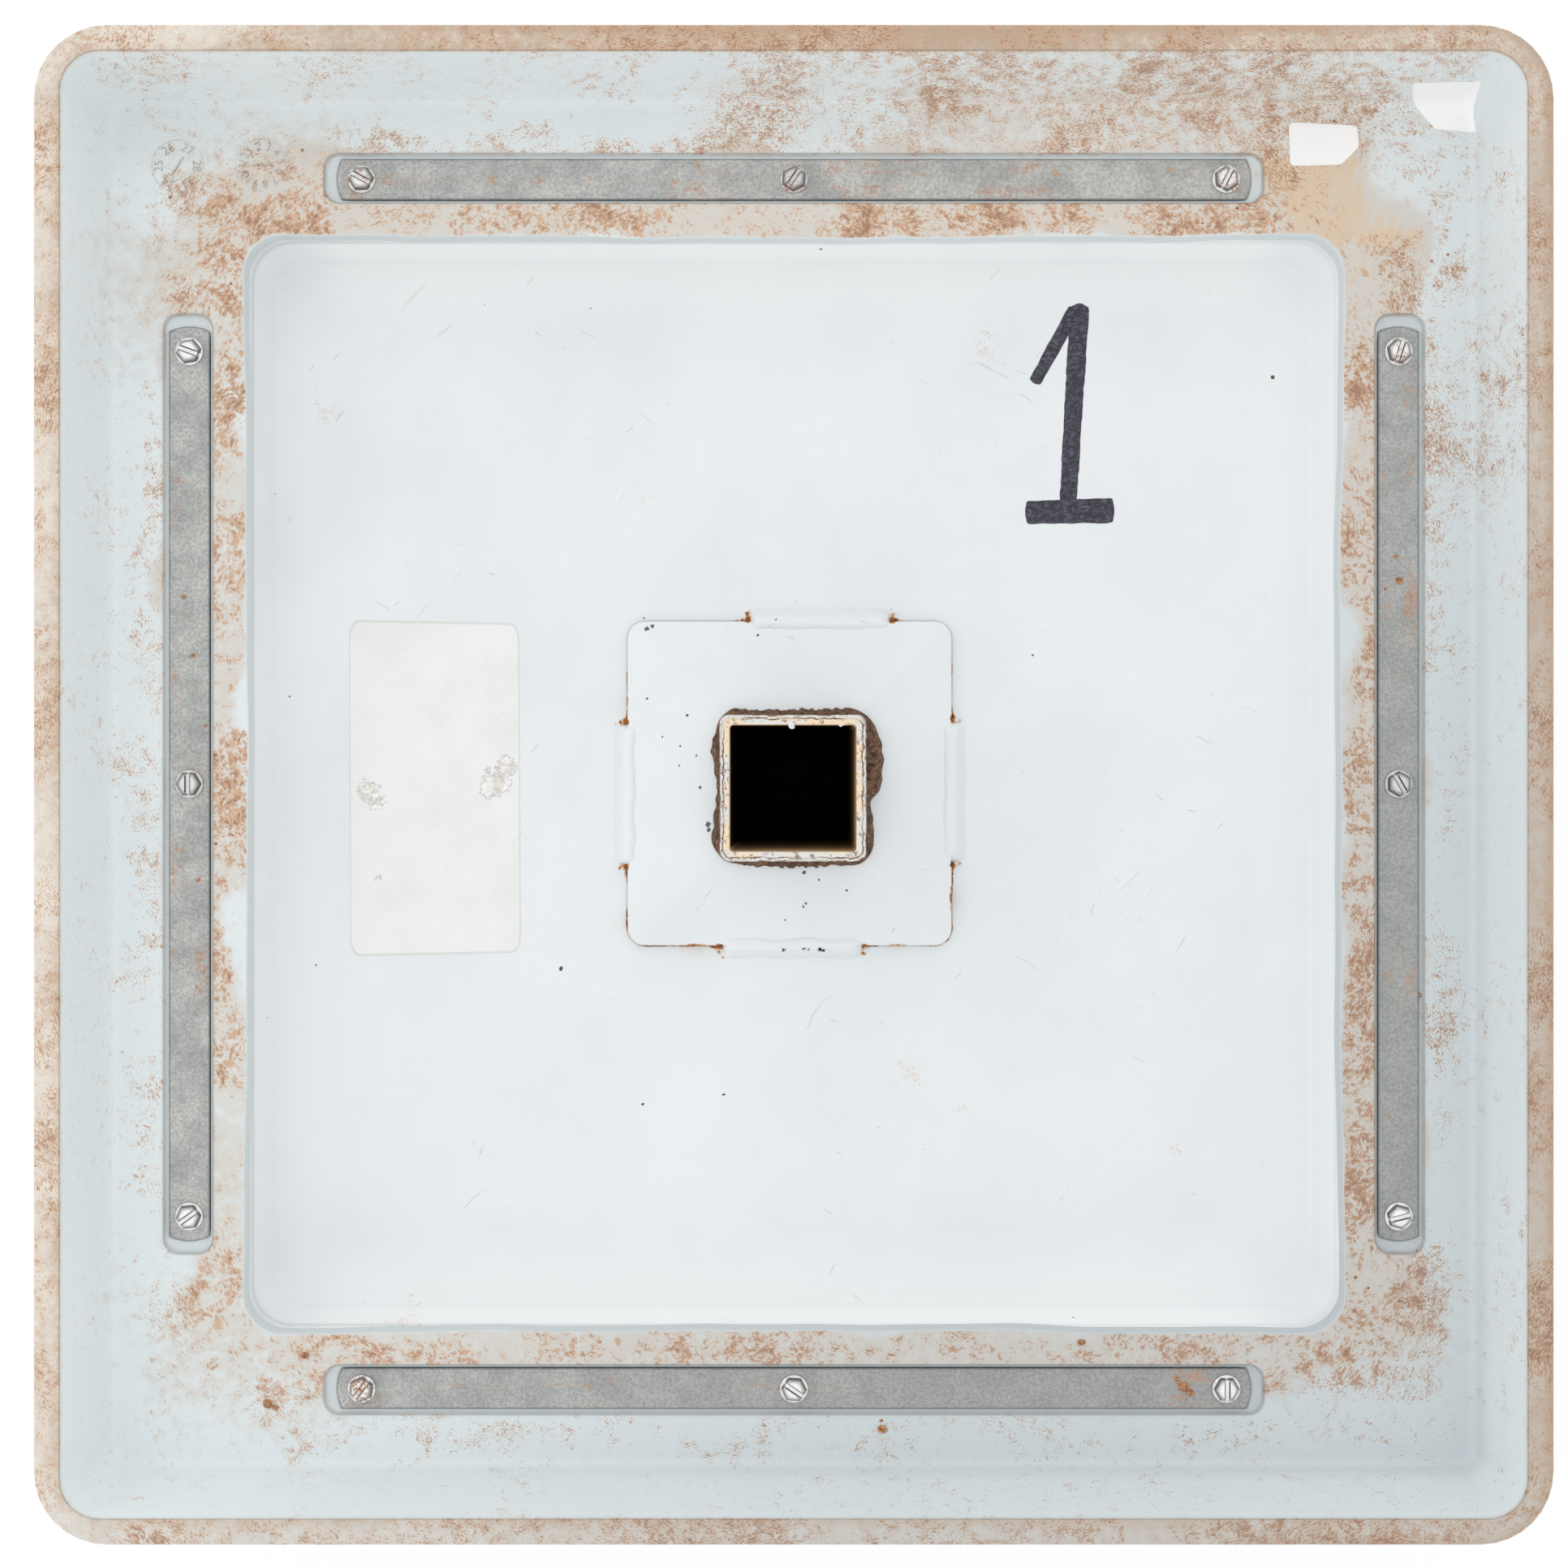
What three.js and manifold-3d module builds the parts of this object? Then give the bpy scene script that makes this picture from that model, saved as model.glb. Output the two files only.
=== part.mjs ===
// A professional baseball base, lying on its playing face with its underside and ground stanchion up.
// Millimetres, +Z up. The origin is the centre of the playing face.
// Right, top, left and bottom name the four sides as they are seen looking down on the underside.

import * as THREE from "three";
import { mergeVertices } from "three/addons/utils/BufferGeometryUtils.js";
import Module from "manifold-3d";

const wasm = await Module();
wasm.setup();

// Clearances
const seatGap = 0.3; // between pieces that seat on or in each other
const holeGap = 0.3; // round a screw's shank

// Moulded rubber cover
const baseSide = 457.2;
const baseCornerRadius = 22.2;
const rimWidth = 7.8;
const rimRound = 1.6;
const rimInnerCornerRadius = 12;
const recessDepth = 31.7; // from the rim down to the flange
const recessLean = 8.8; // how far the recess wall leans in on its way down
const recessFootCornerRadius = 5;
const recessFootRound = 3;
const flangeWidth = 40.5;
const flangeThickness = 9.5;
const lipCornerRadius = 12.7;
const lipRound = 2.2;
const sideWall = 21.9; // from the side's widest line in to the pan's pocket
const sideLean = 2.4; // how far the sides draw in towards the playing face
const faceThickness = 12.7;
const faceRound = 10;

// Pressed steel pan
const panGauge = 2.7;
const panDepth = 16.5; // from the flange down to the floor at the wall's foot
const panDish = 2.5; // fall of the floor from the wall's foot to the seat
const panWallLean = 4.2;
const panLead = 0.5; // how far the wall stands inside the rubber lip
const panBend = 5;
const panFlangeCornerRadius = 14;
const seatCornerRadius = 6;
const seatMargin = 1.5; // flat left outside the edge welds

// Gusset plate
const gussetSide = 104;
const gussetCornerRadius = 5.5;
const gussetGauge = 3.2;
const gussetRise = 8;

// Stanchion
const stanchionSide = 38.1;
const stanchionWall = 2.7;
const stanchionCornerRadius = 2.4;
const stanchionBoreCornerRadius = 0.8;
const stanchionReach = 114.3; // past the rim

// Welds
const stanchionWeldLeg = 6.4;
const edgeWeldLength = 45;
const edgeWeldLeg = 4.3; // out along the pan
const edgeWeldLap = 2.6; // in over the plate
const edgeWeldCrown = 0.9;
const edgeWeldEndRadius = 3;

// Clamp bars and their slots
const barWidth = 12.7;
const barThickness = 3.2;
const barInset = 17.4; // from the lip to the bar's middle line
const barCornerSpace = 39.6; // from a bar's end to the edge of the next side's bar
const barEndBow = 1.5;
const slotFloor = 4; // rubber left under a bar
const slotSideGap = 1.6;
const slotEndGap = 3.2;
const slotCornerRadius = 4.5;

// Slotted hex washer head screws
const screwEndDistance = 7.9; // from the bar's end
const shankDiameter = 4.2;
const shankLength = 15.9;
const shankTipTaper = 1.2;
const washerDiameter = 8.8;
const washerThickness = 0.8;
const hexAcrossFlats = 6.35;
const headHeight = 2.8;
const driverSlotWidth = 1.3;
const driverSlotDepth = 1.4;

// The four sides: each is the right-hand side turned about the centre, with its own drift of the edge weld.
// The driver slots' angles are in degrees from +X, for the three screws in turn.
const sides = [
  { name: "right", quarter: 0, weldShift: -2.7, driverAngles: [14, 120, 72] },
  { name: "top", quarter: 1, weldShift: -9.8, driverAngles: [63, 55, 152] },
  { name: "left", quarter: 2, weldShift: 3.6, driverAngles: [160, 90, 36] },
  { name: "bottom", quarter: 3, weldShift: 0.9, driverAngles: [53, 146, 90] },
];
const turnOf = (side) => (side.quarter * Math.PI) / 2;

// Facet counts and numerical margins
const cornerSteps = 6;
const bendSteps = 4;
const screwSides = 12;
const curveSteps = 5;
const overcut = 1; // how far a cutting tool reaches past the face that it opens
const mergeDistance = 1e-4;
const bendShare = 0.45; // most of a neighbouring stretch that a bend may take up

// Heights, built up from the playing face
const panUndersideZ = faceThickness + seatGap;
const seatZ = panUndersideZ + panGauge;
const panFootZ = seatZ + panDish;
const panFlangeZ = panFootZ + panDepth;
const lipZ = panFlangeZ + seatGap;
const flangeZ = lipZ + flangeThickness;
const rimZ = flangeZ + recessDepth;
const slotFloorZ = lipZ + slotFloor;
const barZ = slotFloorZ + seatGap;
const washerZ = barZ + barThickness + seatGap;
const shankTipZ = washerZ - shankLength;
const gussetZ = seatZ + seatGap;

// Half widths, counted in from the outside
const baseHalf = baseSide / 2;
const rimInnerHalf = baseHalf - rimWidth;
const recessFootHalf = rimInnerHalf - recessLean;
const lipHalf = recessFootHalf - flangeWidth;
const pocketHalf = baseHalf - sideWall;
const panFlangeHalf = pocketHalf - seatGap;
const panWallHalf = lipHalf - panLead;
const panFootHalf = panWallHalf - panWallLean;
const gussetHalf = gussetSide / 2;
const seatHalf = gussetHalf + edgeWeldLeg + seatMargin;
const stanchionHalf = stanchionSide / 2;
const gussetHoleHalf = stanchionHalf + seatGap;
const gussetHoleCorner = stanchionCornerRadius + seatGap;

// Bars and screws along each side
const barLine = lipHalf + barInset;
const barLength = 2 * (barLine - barWidth / 2 - barCornerSpace);
const screwReach = barLength / 2 - screwEndDistance;
const screwPlaces = [-screwReach, 0, screwReach];
const holeRadius = shankDiameter / 2 + holeGap;

// Materials
const whiteRubber = new THREE.MeshStandardMaterial({ color: 0xd6dcdd, roughness: 0.75, metalness: 0 });
const whitePaint = new THREE.MeshStandardMaterial({ color: 0xe8ecee, roughness: 0.35, metalness: 0 });
const wornSteel = new THREE.MeshStandardMaterial({ color: 0xb9a58f, roughness: 0.6, metalness: 0.6 });
const dullZinc = new THREE.MeshStandardMaterial({ color: 0xaaa9a4, roughness: 0.5, metalness: 0.8 });
const brightZinc = new THREE.MeshStandardMaterial({ color: 0xc6c8c8, roughness: 0.35, metalness: 0.9 });

// A station of a square loft, held as (half width, half distance between corner arc centres, height).
function station(half, cornerRadius, z) {
  return new THREE.Vector3(half, half - cornerRadius, z);
}

// A path of stations with its inner vertices rounded: each vertex that has a bend becomes a short curve.
function bentPath(vertices) {
  const span = (a, b) => Math.hypot(b.x - a.x, b.z - a.z);
  return vertices.flatMap(({ at, bend = 0 }, i) => {
    if (bend === 0) return [at];
    const before = vertices[i - 1].at;
    const after = vertices[i + 1].at;
    const room = bendShare * Math.min(span(before, at), span(at, after));
    const reach = Math.min(bend, room);
    const start = at.clone().lerp(before, reach / span(before, at));
    const end = at.clone().lerp(after, reach / span(at, after));
    return new THREE.QuadraticBezierCurve3(start, at, end).getPoints(bendSteps);
  });
}

// The path moved sideways by a distance, to its left as it runs, with mitred vertices.
function offsetPath(path, distance) {
  const leftOf = (a, b) => new THREE.Vector2(a.z - b.z, b.x - a.x).normalize();
  return path.map((at, i) => {
    const into = leftOf(path[Math.max(i - 1, 0)], path[Math.max(i, 1)]);
    const out = leftOf(path[Math.min(i, path.length - 2)], path[Math.min(i + 1, path.length - 1)]);
    const mitre = into.clone().add(out).divideScalar(1 + into.dot(out));
    return new THREE.Vector3(at.x + mitre.x * distance, at.y, at.z + mitre.y * distance);
  });
}

// One square ring with round corners, counter-clockwise seen from above.
function squareRing({ x: half, y: core, z }) {
  const radius = half - core;
  const quarters = [[1, 1], [-1, 1], [-1, -1], [1, -1]];
  return quarters.flatMap(([sx, sy], quarter) =>
    Array.from({ length: cornerSteps + 1 }, (_, step) => {
      const angle = ((quarter + step / cornerSteps) * Math.PI) / 2;
      return [sx * core + radius * Math.cos(angle), sy * core + radius * Math.sin(angle), z];
    }),
  );
}

// A solid lofted through square rings. An open loft is capped at both ends, and a closed one joins up like a frame.
function squareLoft(path, closed = false) {
  const rings = path.map(squareRing);
  const count = rings[0].length;
  const links = closed ? rings.length : rings.length - 1;
  const index = [];
  for (let i = 0; i < links; i++) {
    const next = (i + 1) % rings.length;
    for (let j = 0; j < count; j++) {
      const k = (j + 1) % count;
      const [a, b, c, d] = [i * count + j, next * count + j, next * count + k, i * count + k];
      index.push(a, b, c, a, c, d);
    }
  }
  if (!closed) {
    const last = (rings.length - 1) * count;
    for (let j = 1; j < count - 1; j++) {
      index.push(0, j, j + 1, last, last + j + 1, last + j);
    }
  }
  const geometry = new THREE.BufferGeometry();
  geometry.setAttribute("position", new THREE.Float32BufferAttribute(rings.flat(2), 3));
  geometry.setIndex(index);
  geometry.computeVertexNormals();
  return geometry;
}

// A closed geometry as a solid for boolean work.
function solidFrom(geometry) {
  const bare = geometry.clone();
  bare.deleteAttribute("normal");
  bare.deleteAttribute("uv");
  const merged = mergeVertices(bare, mergeDistance);
  const vertProperties = merged.attributes.position.array;
  const triVerts = Uint32Array.from(merged.index.array);
  return new wasm.Manifold(new wasm.Mesh({ numProp: 3, vertProperties, triVerts }));
}

// A boolean result as a geometry.
function geometryFrom(solid) {
  const { vertProperties, triVerts } = solid.getMesh();
  const geometry = new THREE.BufferGeometry();
  geometry.setAttribute("position", new THREE.BufferAttribute(vertProperties, 3));
  geometry.setIndex(new THREE.BufferAttribute(triVerts, 1));
  geometry.computeVertexNormals();
  return geometry;
}

// The geometry with each tool cut away.
function cut(geometry, tools) {
  const start = solidFrom(geometry);
  return geometryFrom(tools.reduce((solid, tool) => solid.subtract(solidFrom(tool)), start));
}

// The geometries joined to one.
function join(geometries) {
  return geometryFrom(geometries.map(solidFrom).reduce((whole, piece) => whole.add(piece)));
}

// What two geometries have in common.
function common(one, other) {
  return geometryFrom(solidFrom(one).intersect(solidFrom(other)));
}

// A flat shape raised from one height to another.
function raised(shape, fromZ, toZ) {
  const options = { depth: toZ - fromZ, bevelEnabled: false, curveSegments: curveSteps };
  return new THREE.ExtrudeGeometry(shape, options).translate(0, 0, fromZ);
}

// A rectangle with round corners, centred.
function roundedRectangle(width, length, radius) {
  const x = width / 2 - radius;
  const y = length / 2 - radius;
  const shape = new THREE.Shape();
  shape.absarc(x, y, radius, 0, Math.PI / 2);
  shape.absarc(-x, y, radius, Math.PI / 2, Math.PI);
  shape.absarc(-x, -y, radius, Math.PI, 1.5 * Math.PI);
  shape.absarc(x, -y, radius, 1.5 * Math.PI, 2 * Math.PI);
  shape.closePath();
  return shape;
}

// The pan's upper surface from the middle of the seat out to the edge of the flange.
function panSurface() {
  return bentPath([
    { at: station(stanchionHalf, stanchionCornerRadius, seatZ) },
    { at: station(seatHalf, seatCornerRadius, seatZ) },
    { at: station(panFootHalf, lipCornerRadius, panFootZ), bend: panBend },
    { at: station(panWallHalf, lipCornerRadius + panWallLean, panFlangeZ), bend: panBend },
    { at: station(panFlangeHalf, panFlangeCornerRadius, panFlangeZ) },
  ]);
}

// Tools for the screw holes of every side, from above the bar slots down to the screws' tips.
function screwHoles() {
  const depth = slotFloorZ + overcut - (shankTipZ - holeGap);
  return sides.flatMap((side) =>
    screwPlaces.map((place) =>
      new THREE.CylinderGeometry(holeRadius, holeRadius, depth, screwSides)
        .rotateX(Math.PI / 2)
        .translate(barLine, place, slotFloorZ + overcut - depth / 2)
        .rotateZ(turnOf(side)),
    ),
  );
}

// Tools for the four bar slots in the flange.
function barSlots() {
  const width = barWidth + 2 * slotSideGap;
  const length = barLength + 2 * slotEndGap;
  const outline = roundedRectangle(width, length, slotCornerRadius);
  return sides.map((side) =>
    raised(outline, slotFloorZ, flangeZ + overcut).translate(barLine, 0, 0).rotateZ(turnOf(side)),
  );
}

// The cover: out along the nest under the pan, round the pocket, over the lip, flange and rim, and down to the face.
function rubberCover() {
  const nest = offsetPath(panSurface(), -(panGauge + seatGap));
  const nestEnd = nest[nest.length - 1];
  const pocketCorner = panFlangeCornerRadius + seatGap;
  const faceHalf = baseHalf - sideLean;
  const shell = bentPath([
    { at: station(pocketHalf, pocketCorner, nestEnd.z) },
    { at: station(pocketHalf, pocketCorner, lipZ) },
    { at: station(lipHalf, lipCornerRadius, lipZ), bend: lipRound },
    { at: station(lipHalf, lipCornerRadius, flangeZ), bend: lipRound },
    { at: station(recessFootHalf, recessFootCornerRadius, flangeZ), bend: recessFootRound },
    { at: station(rimInnerHalf, rimInnerCornerRadius, rimZ), bend: rimRound },
    { at: station(baseHalf, baseCornerRadius, rimZ), bend: rimRound },
    { at: station(faceHalf, baseCornerRadius, 0), bend: faceRound },
    { at: station(stanchionHalf, stanchionCornerRadius, 0) },
  ]);
  return cut(squareLoft([...nest, ...shell]), [...barSlots(), ...screwHoles()]);
}

// The pan: one sheet, its underside offset from the upper surface by the gauge.
function steelPan() {
  const upper = panSurface();
  const under = offsetPath(upper, -panGauge).reverse();
  return cut(squareLoft([...upper, ...under]), screwHoles());
}

// A ring on the gusset plate's upper face, lifted off it by a height. Edge and hole are its outer and inner rings.
function gussetRing(half, lift) {
  const hole = station(gussetHoleHalf, gussetHoleCorner, gussetZ + gussetGauge + gussetRise);
  const edge = station(gussetHalf, gussetCornerRadius, gussetZ + gussetGauge);
  const ring = hole.lerp(edge, (half - gussetHoleHalf) / (gussetHalf - gussetHoleHalf));
  return ring.setZ(ring.z + lift);
}

// The gusset plate: a low pyramid with a square hole.
function gussetPlate() {
  return squareLoft(
    [
      gussetRing(gussetHalf, -gussetGauge),
      gussetRing(gussetHoleHalf, -gussetGauge),
      gussetRing(gussetHoleHalf, 0),
      gussetRing(gussetHalf, 0),
    ],
    true,
  );
}

// The stanchion: square tube from the pan's seat to past the rim.
function stanchionTube() {
  const boreHalf = stanchionHalf - stanchionWall;
  const endZ = rimZ + stanchionReach;
  return squareLoft(
    [
      station(boreHalf, stanchionBoreCornerRadius, gussetZ),
      station(boreHalf, stanchionBoreCornerRadius, endZ),
      station(stanchionHalf, stanchionCornerRadius, endZ),
      station(stanchionHalf, stanchionCornerRadius, gussetZ),
    ],
    true,
  );
}

// The fillet weld round the stanchion, with a slightly full face, following the plate's slope.
function stanchionWeld() {
  const fullness = 0.55; // of the leg, at the middle of the face
  const rootZ = gussetRing(gussetHoleHalf, seatGap + stanchionWeldLeg).z;
  const toeHalf = gussetHoleHalf + stanchionWeldLeg;
  const middleHalf = gussetHoleHalf + fullness * stanchionWeldLeg;
  return squareLoft(
    [
      gussetRing(gussetHoleHalf, seatGap),
      station(gussetHoleHalf, gussetHoleCorner, rootZ),
      gussetRing(middleHalf, seatGap + fullness * stanchionWeldLeg),
      gussetRing(toeHalf, 2 * seatGap),
      gussetRing(toeHalf, seatGap),
    ],
    true,
  );
}

// A round-ended bead along the plate's right edge: it stands on the pan and laps onto the plate's slope.
function edgeWeld() {
  const edgeZ = gussetRing(gussetHalf + seatGap, seatGap).z - gussetZ;
  const lapZ = gussetRing(gussetHalf - edgeWeldLap, seatGap).z - gussetZ;
  const crownZ = lapZ + edgeWeldCrown;
  const section = new THREE.Shape();
  section.moveTo(seatGap, 0);
  section.lineTo(edgeWeldLeg, 0);
  section.bezierCurveTo(edgeWeldLeg, crownZ / 2, edgeWeldLeg / 2, crownZ, 0, crownZ);
  section.lineTo(-edgeWeldLap, lapZ);
  section.lineTo(seatGap, edgeZ);
  section.closePath();
  const bar = raised(section, -edgeWeldLength / 2, edgeWeldLength / 2).rotateX(Math.PI / 2);
  const outline = roundedRectangle(edgeWeldLeg + edgeWeldLap, edgeWeldLength, edgeWeldEndRadius);
  const ends = raised(outline, -overcut, crownZ + overcut).translate((edgeWeldLeg - edgeWeldLap) / 2, 0, 0);
  return common(bar, ends).translate(gussetHalf, 0, gussetZ);
}

// A flat bar with bowed ends and a clearance hole for each screw.
function clampBar() {
  const halfWidth = barWidth / 2;
  const straight = barLength / 2 - barEndBow;
  const endRadius = (halfWidth ** 2 + barEndBow ** 2) / (2 * barEndBow);
  const endCentre = barLength / 2 - endRadius;
  const sweep = Math.asin(halfWidth / endRadius);
  const outline = new THREE.Shape();
  outline.moveTo(halfWidth, -straight);
  outline.lineTo(halfWidth, straight);
  outline.absarc(0, endCentre, endRadius, Math.PI / 2 - sweep, Math.PI / 2 + sweep);
  outline.lineTo(-halfWidth, -straight);
  outline.absarc(0, -endCentre, endRadius, -Math.PI / 2 - sweep, -Math.PI / 2 + sweep);
  for (const place of screwPlaces) {
    outline.holes.push(new THREE.Path().absarc(0, place, holeRadius, 0, 2 * Math.PI, true));
  }
  return raised(outline, 0, barThickness);
}

// A screw standing on its washer face: shank below, washer and slotted hexagon above.
function slottedScrew() {
  const shankRadius = shankDiameter / 2;
  const washerRadius = washerDiameter / 2;
  const profile = [
    [0, -shankLength],
    [shankRadius - shankTipTaper / 2, -shankLength],
    [shankRadius, shankTipTaper - shankLength],
    [shankRadius, 0],
    [washerRadius, 0],
    [washerRadius, washerThickness],
    [0, washerThickness],
  ].map(([x, y]) => new THREE.Vector2(x, y));
  const turned = new THREE.LatheGeometry(profile, screwSides).rotateX(Math.PI / 2);
  const hexRadius = hexAcrossFlats / Math.sqrt(3);
  const hexagon = new THREE.CylinderGeometry(hexRadius, hexRadius, headHeight, 6)
    .rotateX(Math.PI / 2)
    .translate(0, 0, headHeight / 2);
  const driverSlot = new THREE.BoxGeometry(washerDiameter, driverSlotWidth, 2 * driverSlotDepth)
    .translate(0, 0, headHeight);
  return cut(join([turned, hexagon]), [driverSlot]);
}

function named(name, geometry, material) {
  const mesh = new THREE.Mesh(geometry, material);
  mesh.name = name;
  return mesh;
}

// Assembly: the pieces on the middle line, then one turned group for each side
const base = new THREE.Group();
base.add(named("rubber_cover", rubberCover(), whiteRubber));
base.add(named("steel_pan", steelPan(), whitePaint));
base.add(named("gusset_plate", gussetPlate(), whitePaint));
base.add(named("stanchion", stanchionTube(), wornSteel));
base.add(named("stanchion_weld", stanchionWeld(), wornSteel));

const beadGeometry = edgeWeld();
const barGeometry = clampBar();
const screwGeometry = slottedScrew();
for (const side of sides) {
  const group = new THREE.Group();
  group.rotation.z = turnOf(side);
  const bead = named(`edge_weld_${side.name}`, beadGeometry, whitePaint);
  bead.position.y = side.weldShift;
  const bar = named(`clamp_bar_${side.name}`, barGeometry, dullZinc);
  bar.position.set(barLine, 0, barZ);
  group.add(bead, bar);
  screwPlaces.forEach((place, i) => {
    const screw = named(`screw_${side.name}_${i + 1}`, screwGeometry, brightZinc);
    screw.position.set(barLine, place, washerZ);
    screw.rotation.z = THREE.MathUtils.degToRad(side.driverAngles[i]) - turnOf(side);
    group.add(screw);
  });
  base.add(group);
}

export default base;
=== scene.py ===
import math

import bpy
import numpy as np
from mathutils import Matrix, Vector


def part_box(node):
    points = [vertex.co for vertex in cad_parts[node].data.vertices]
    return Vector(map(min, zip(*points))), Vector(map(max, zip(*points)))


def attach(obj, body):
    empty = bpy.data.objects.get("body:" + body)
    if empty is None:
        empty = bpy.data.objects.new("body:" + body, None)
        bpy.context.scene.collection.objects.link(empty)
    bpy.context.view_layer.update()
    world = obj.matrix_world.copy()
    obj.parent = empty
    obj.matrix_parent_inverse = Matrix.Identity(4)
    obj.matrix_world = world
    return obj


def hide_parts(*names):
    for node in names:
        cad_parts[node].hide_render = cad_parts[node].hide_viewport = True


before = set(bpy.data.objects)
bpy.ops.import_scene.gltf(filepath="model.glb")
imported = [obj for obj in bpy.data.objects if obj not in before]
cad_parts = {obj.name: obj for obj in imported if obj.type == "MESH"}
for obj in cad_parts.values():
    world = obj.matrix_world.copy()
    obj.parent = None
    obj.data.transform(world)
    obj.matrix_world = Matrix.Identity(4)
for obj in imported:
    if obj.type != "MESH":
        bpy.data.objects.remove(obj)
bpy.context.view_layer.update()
mm = 0.001  # pieces are worked out in millimetres and stored in metres


def nodeBox(name):
    # lowest and highest corner of a solid, in millimetres
    low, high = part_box(name)
    return np.array(low) / mm, np.array(high) / mm


coverHigh = nodeBox("rubber_cover")[1]
panLow, panHigh = nodeBox("steel_pan")
plateLow, plateHigh = nodeBox("gusset_plate")
tubeLow, tubeHigh = nodeBox("stanchion")
rootLow, rootHigh = nodeBox("stanchion_weld")
barLow, barHigh = nodeBox("clamp_bar_right")
baseHalf = coverHigh[0]
rimZ = coverHigh[2]
barLine = (barLow[0] + barHigh[0]) / 2
barBow = 1.5  # how far the bars' ends bow out
sides = ("right", "top", "left", "bottom")  # each a quarter turn after the one before
print("frame read:", len(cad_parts), "solids")


# Camera: straight down on the underside, with the image taken as a square.
photoView = {
    "imageSide": 1932,
    "focalPixels": 3426,
    "heightOverRim": 835,
    "standX": 1.5,  # where the camera stands over the base
    "standY": 6.5,
    "baseCentreX": 978,  # the pixel where the middle of the rim lands
    "baseCentreY": 967,
    "sensor": 36,
}


def makeCamera(view):
    # the lens axis meets the image off its middle, so the sensor is shifted by that share of the image
    scale = view["focalPixels"] / view["heightOverRim"]
    axisX = view["baseCentreX"] + view["standX"] * scale
    axisY = view["baseCentreY"] - view["standY"] * scale
    lens = bpy.data.cameras.new("photoCamera")
    lens.sensor_width = view["sensor"]
    lens.lens = view["sensor"] * view["focalPixels"] / view["imageSide"]
    lens.shift_x = 0.5 - axisX / view["imageSide"]
    lens.shift_y = axisY / view["imageSide"] - 0.5
    camera = bpy.data.objects.new("photoCamera", lens)
    camera.location = (view["standX"] * mm, view["standY"] * mm, (rimZ + view["heightOverRim"]) * mm)
    bpy.context.scene.collection.objects.link(camera)
    bpy.context.scene.camera = camera


makeCamera(photoView)
print("camera set")


# Curves and surfaces as arrays.
poleRing = (2, 1)  # half width and corner radius of the small ring that closes a loft


def easeBetween(low, high, value):
    # 0 up to low, 1 from high on, and an S curve between them
    share = np.clip((value - low) / (high - low), 0, 1)
    return share * share * (3 - 2 * share)


def ripple(seed, size, x, y=0.0, waves=7):
    # a sum of sine waves in seeded directions, from about -1 to 1, with hills about size apart
    draw = np.random.default_rng(seed)
    turn = draw.uniform(0, 2 * np.pi, waves)
    phase = draw.uniform(0, 2 * np.pi, waves)
    pace = 2 * np.pi / (size * draw.uniform(0.6, 1.6, waves))
    x = np.asarray(x, float)[..., None]
    y = np.asarray(y, float)[..., None]
    return np.sin(pace * (x * np.cos(turn) + y * np.sin(turn)) + phase).sum(-1) / math.sqrt(waves * 2)


def bentProfile(corners, steps=4):
    # A line through corners of (half width, corner radius, height, bend). Where there is a bend, the line
    # leaves the corner that far before it and joins again that far after it, on a parabola between them.
    mostOfStretch = 0.49  # the share of a stretch between corners that one bend may take
    points = np.array([corner[:3] for corner in corners], float)
    share = np.linspace(0, 1, steps + 1)[:, None]
    rows = []
    for index, corner in enumerate(corners):
        here = points[index]
        if corner[3] == 0 or index in (0, len(corners) - 1):
            rows.append(here[None, :])
            continue
        before = points[index - 1] - here
        after = points[index + 1] - here
        start = here + before * min(corner[3] / np.hypot(before[0], before[2]), mostOfStretch)
        end = here + after * min(corner[3] / np.hypot(after[0], after[2]), mostOfStretch)
        rows.append((1 - share) ** 2 * start + 2 * share * (1 - share) * here + share**2 * end)
    line = np.concatenate(rows)
    return line[:, 0], line[:, 1], line[:, 2]


def loopProfile(corners, steps=4):
    # the same line closed on itself, so that every corner can bend
    half, radius, height = bentProfile([corners[-1], *corners, corners[0]], steps)
    return half[1:-1], radius[1:-1], height[1:-1]


def squareRings(half, radius, height, along, cornerSteps=8, leads=8):
    # Rounded squares, one row of points for each. A side has points at along, squeezed where the straight is
    # too short for them, then a few that lead to the corner, and a quarter circle. The other three sides are
    # quarter turns of it. The directions outward and the first side's own points are given as well.
    mostOfStraight = 0.94  # the share of a straight that the points at along may take
    core = (half - radius)[:, None]
    reach = np.minimum(along.max(), mostOfStraight * core)
    straight = along[None, :] * reach / along.max()
    lead = reach + (core - reach) * np.arange(1, leads + 1)[None, :] / leads
    turn = np.linspace(0, np.pi / 2, cornerSteps + 1)[1:-1]
    flatCount = len(along) + 2 * leads
    across = np.repeat(half[:, None], flatCount, axis=1)
    x = np.concatenate([across, core + radius[:, None] * np.cos(turn)], axis=1)
    y = np.concatenate([-lead[:, ::-1], straight, lead, core + radius[:, None] * np.sin(turn)], axis=1)
    outX = np.concatenate([np.ones(flatCount), np.cos(turn)])
    outY = np.concatenate([np.zeros(flatCount), np.sin(turn)])
    ringX = np.concatenate([x, -y, -x, y], axis=1)
    ringY = np.concatenate([y, x, -y, -x], axis=1)
    ringZ = np.repeat(height[:, None], ringX.shape[1], axis=1)
    normalX = np.concatenate([outX, -outY, -outX, outY])
    normalY = np.concatenate([outY, outX, -outY, -outX])
    return np.stack([ringX, ringY, ringZ], axis=-1), np.stack([normalX, normalY], axis=-1), (x, y)


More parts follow.
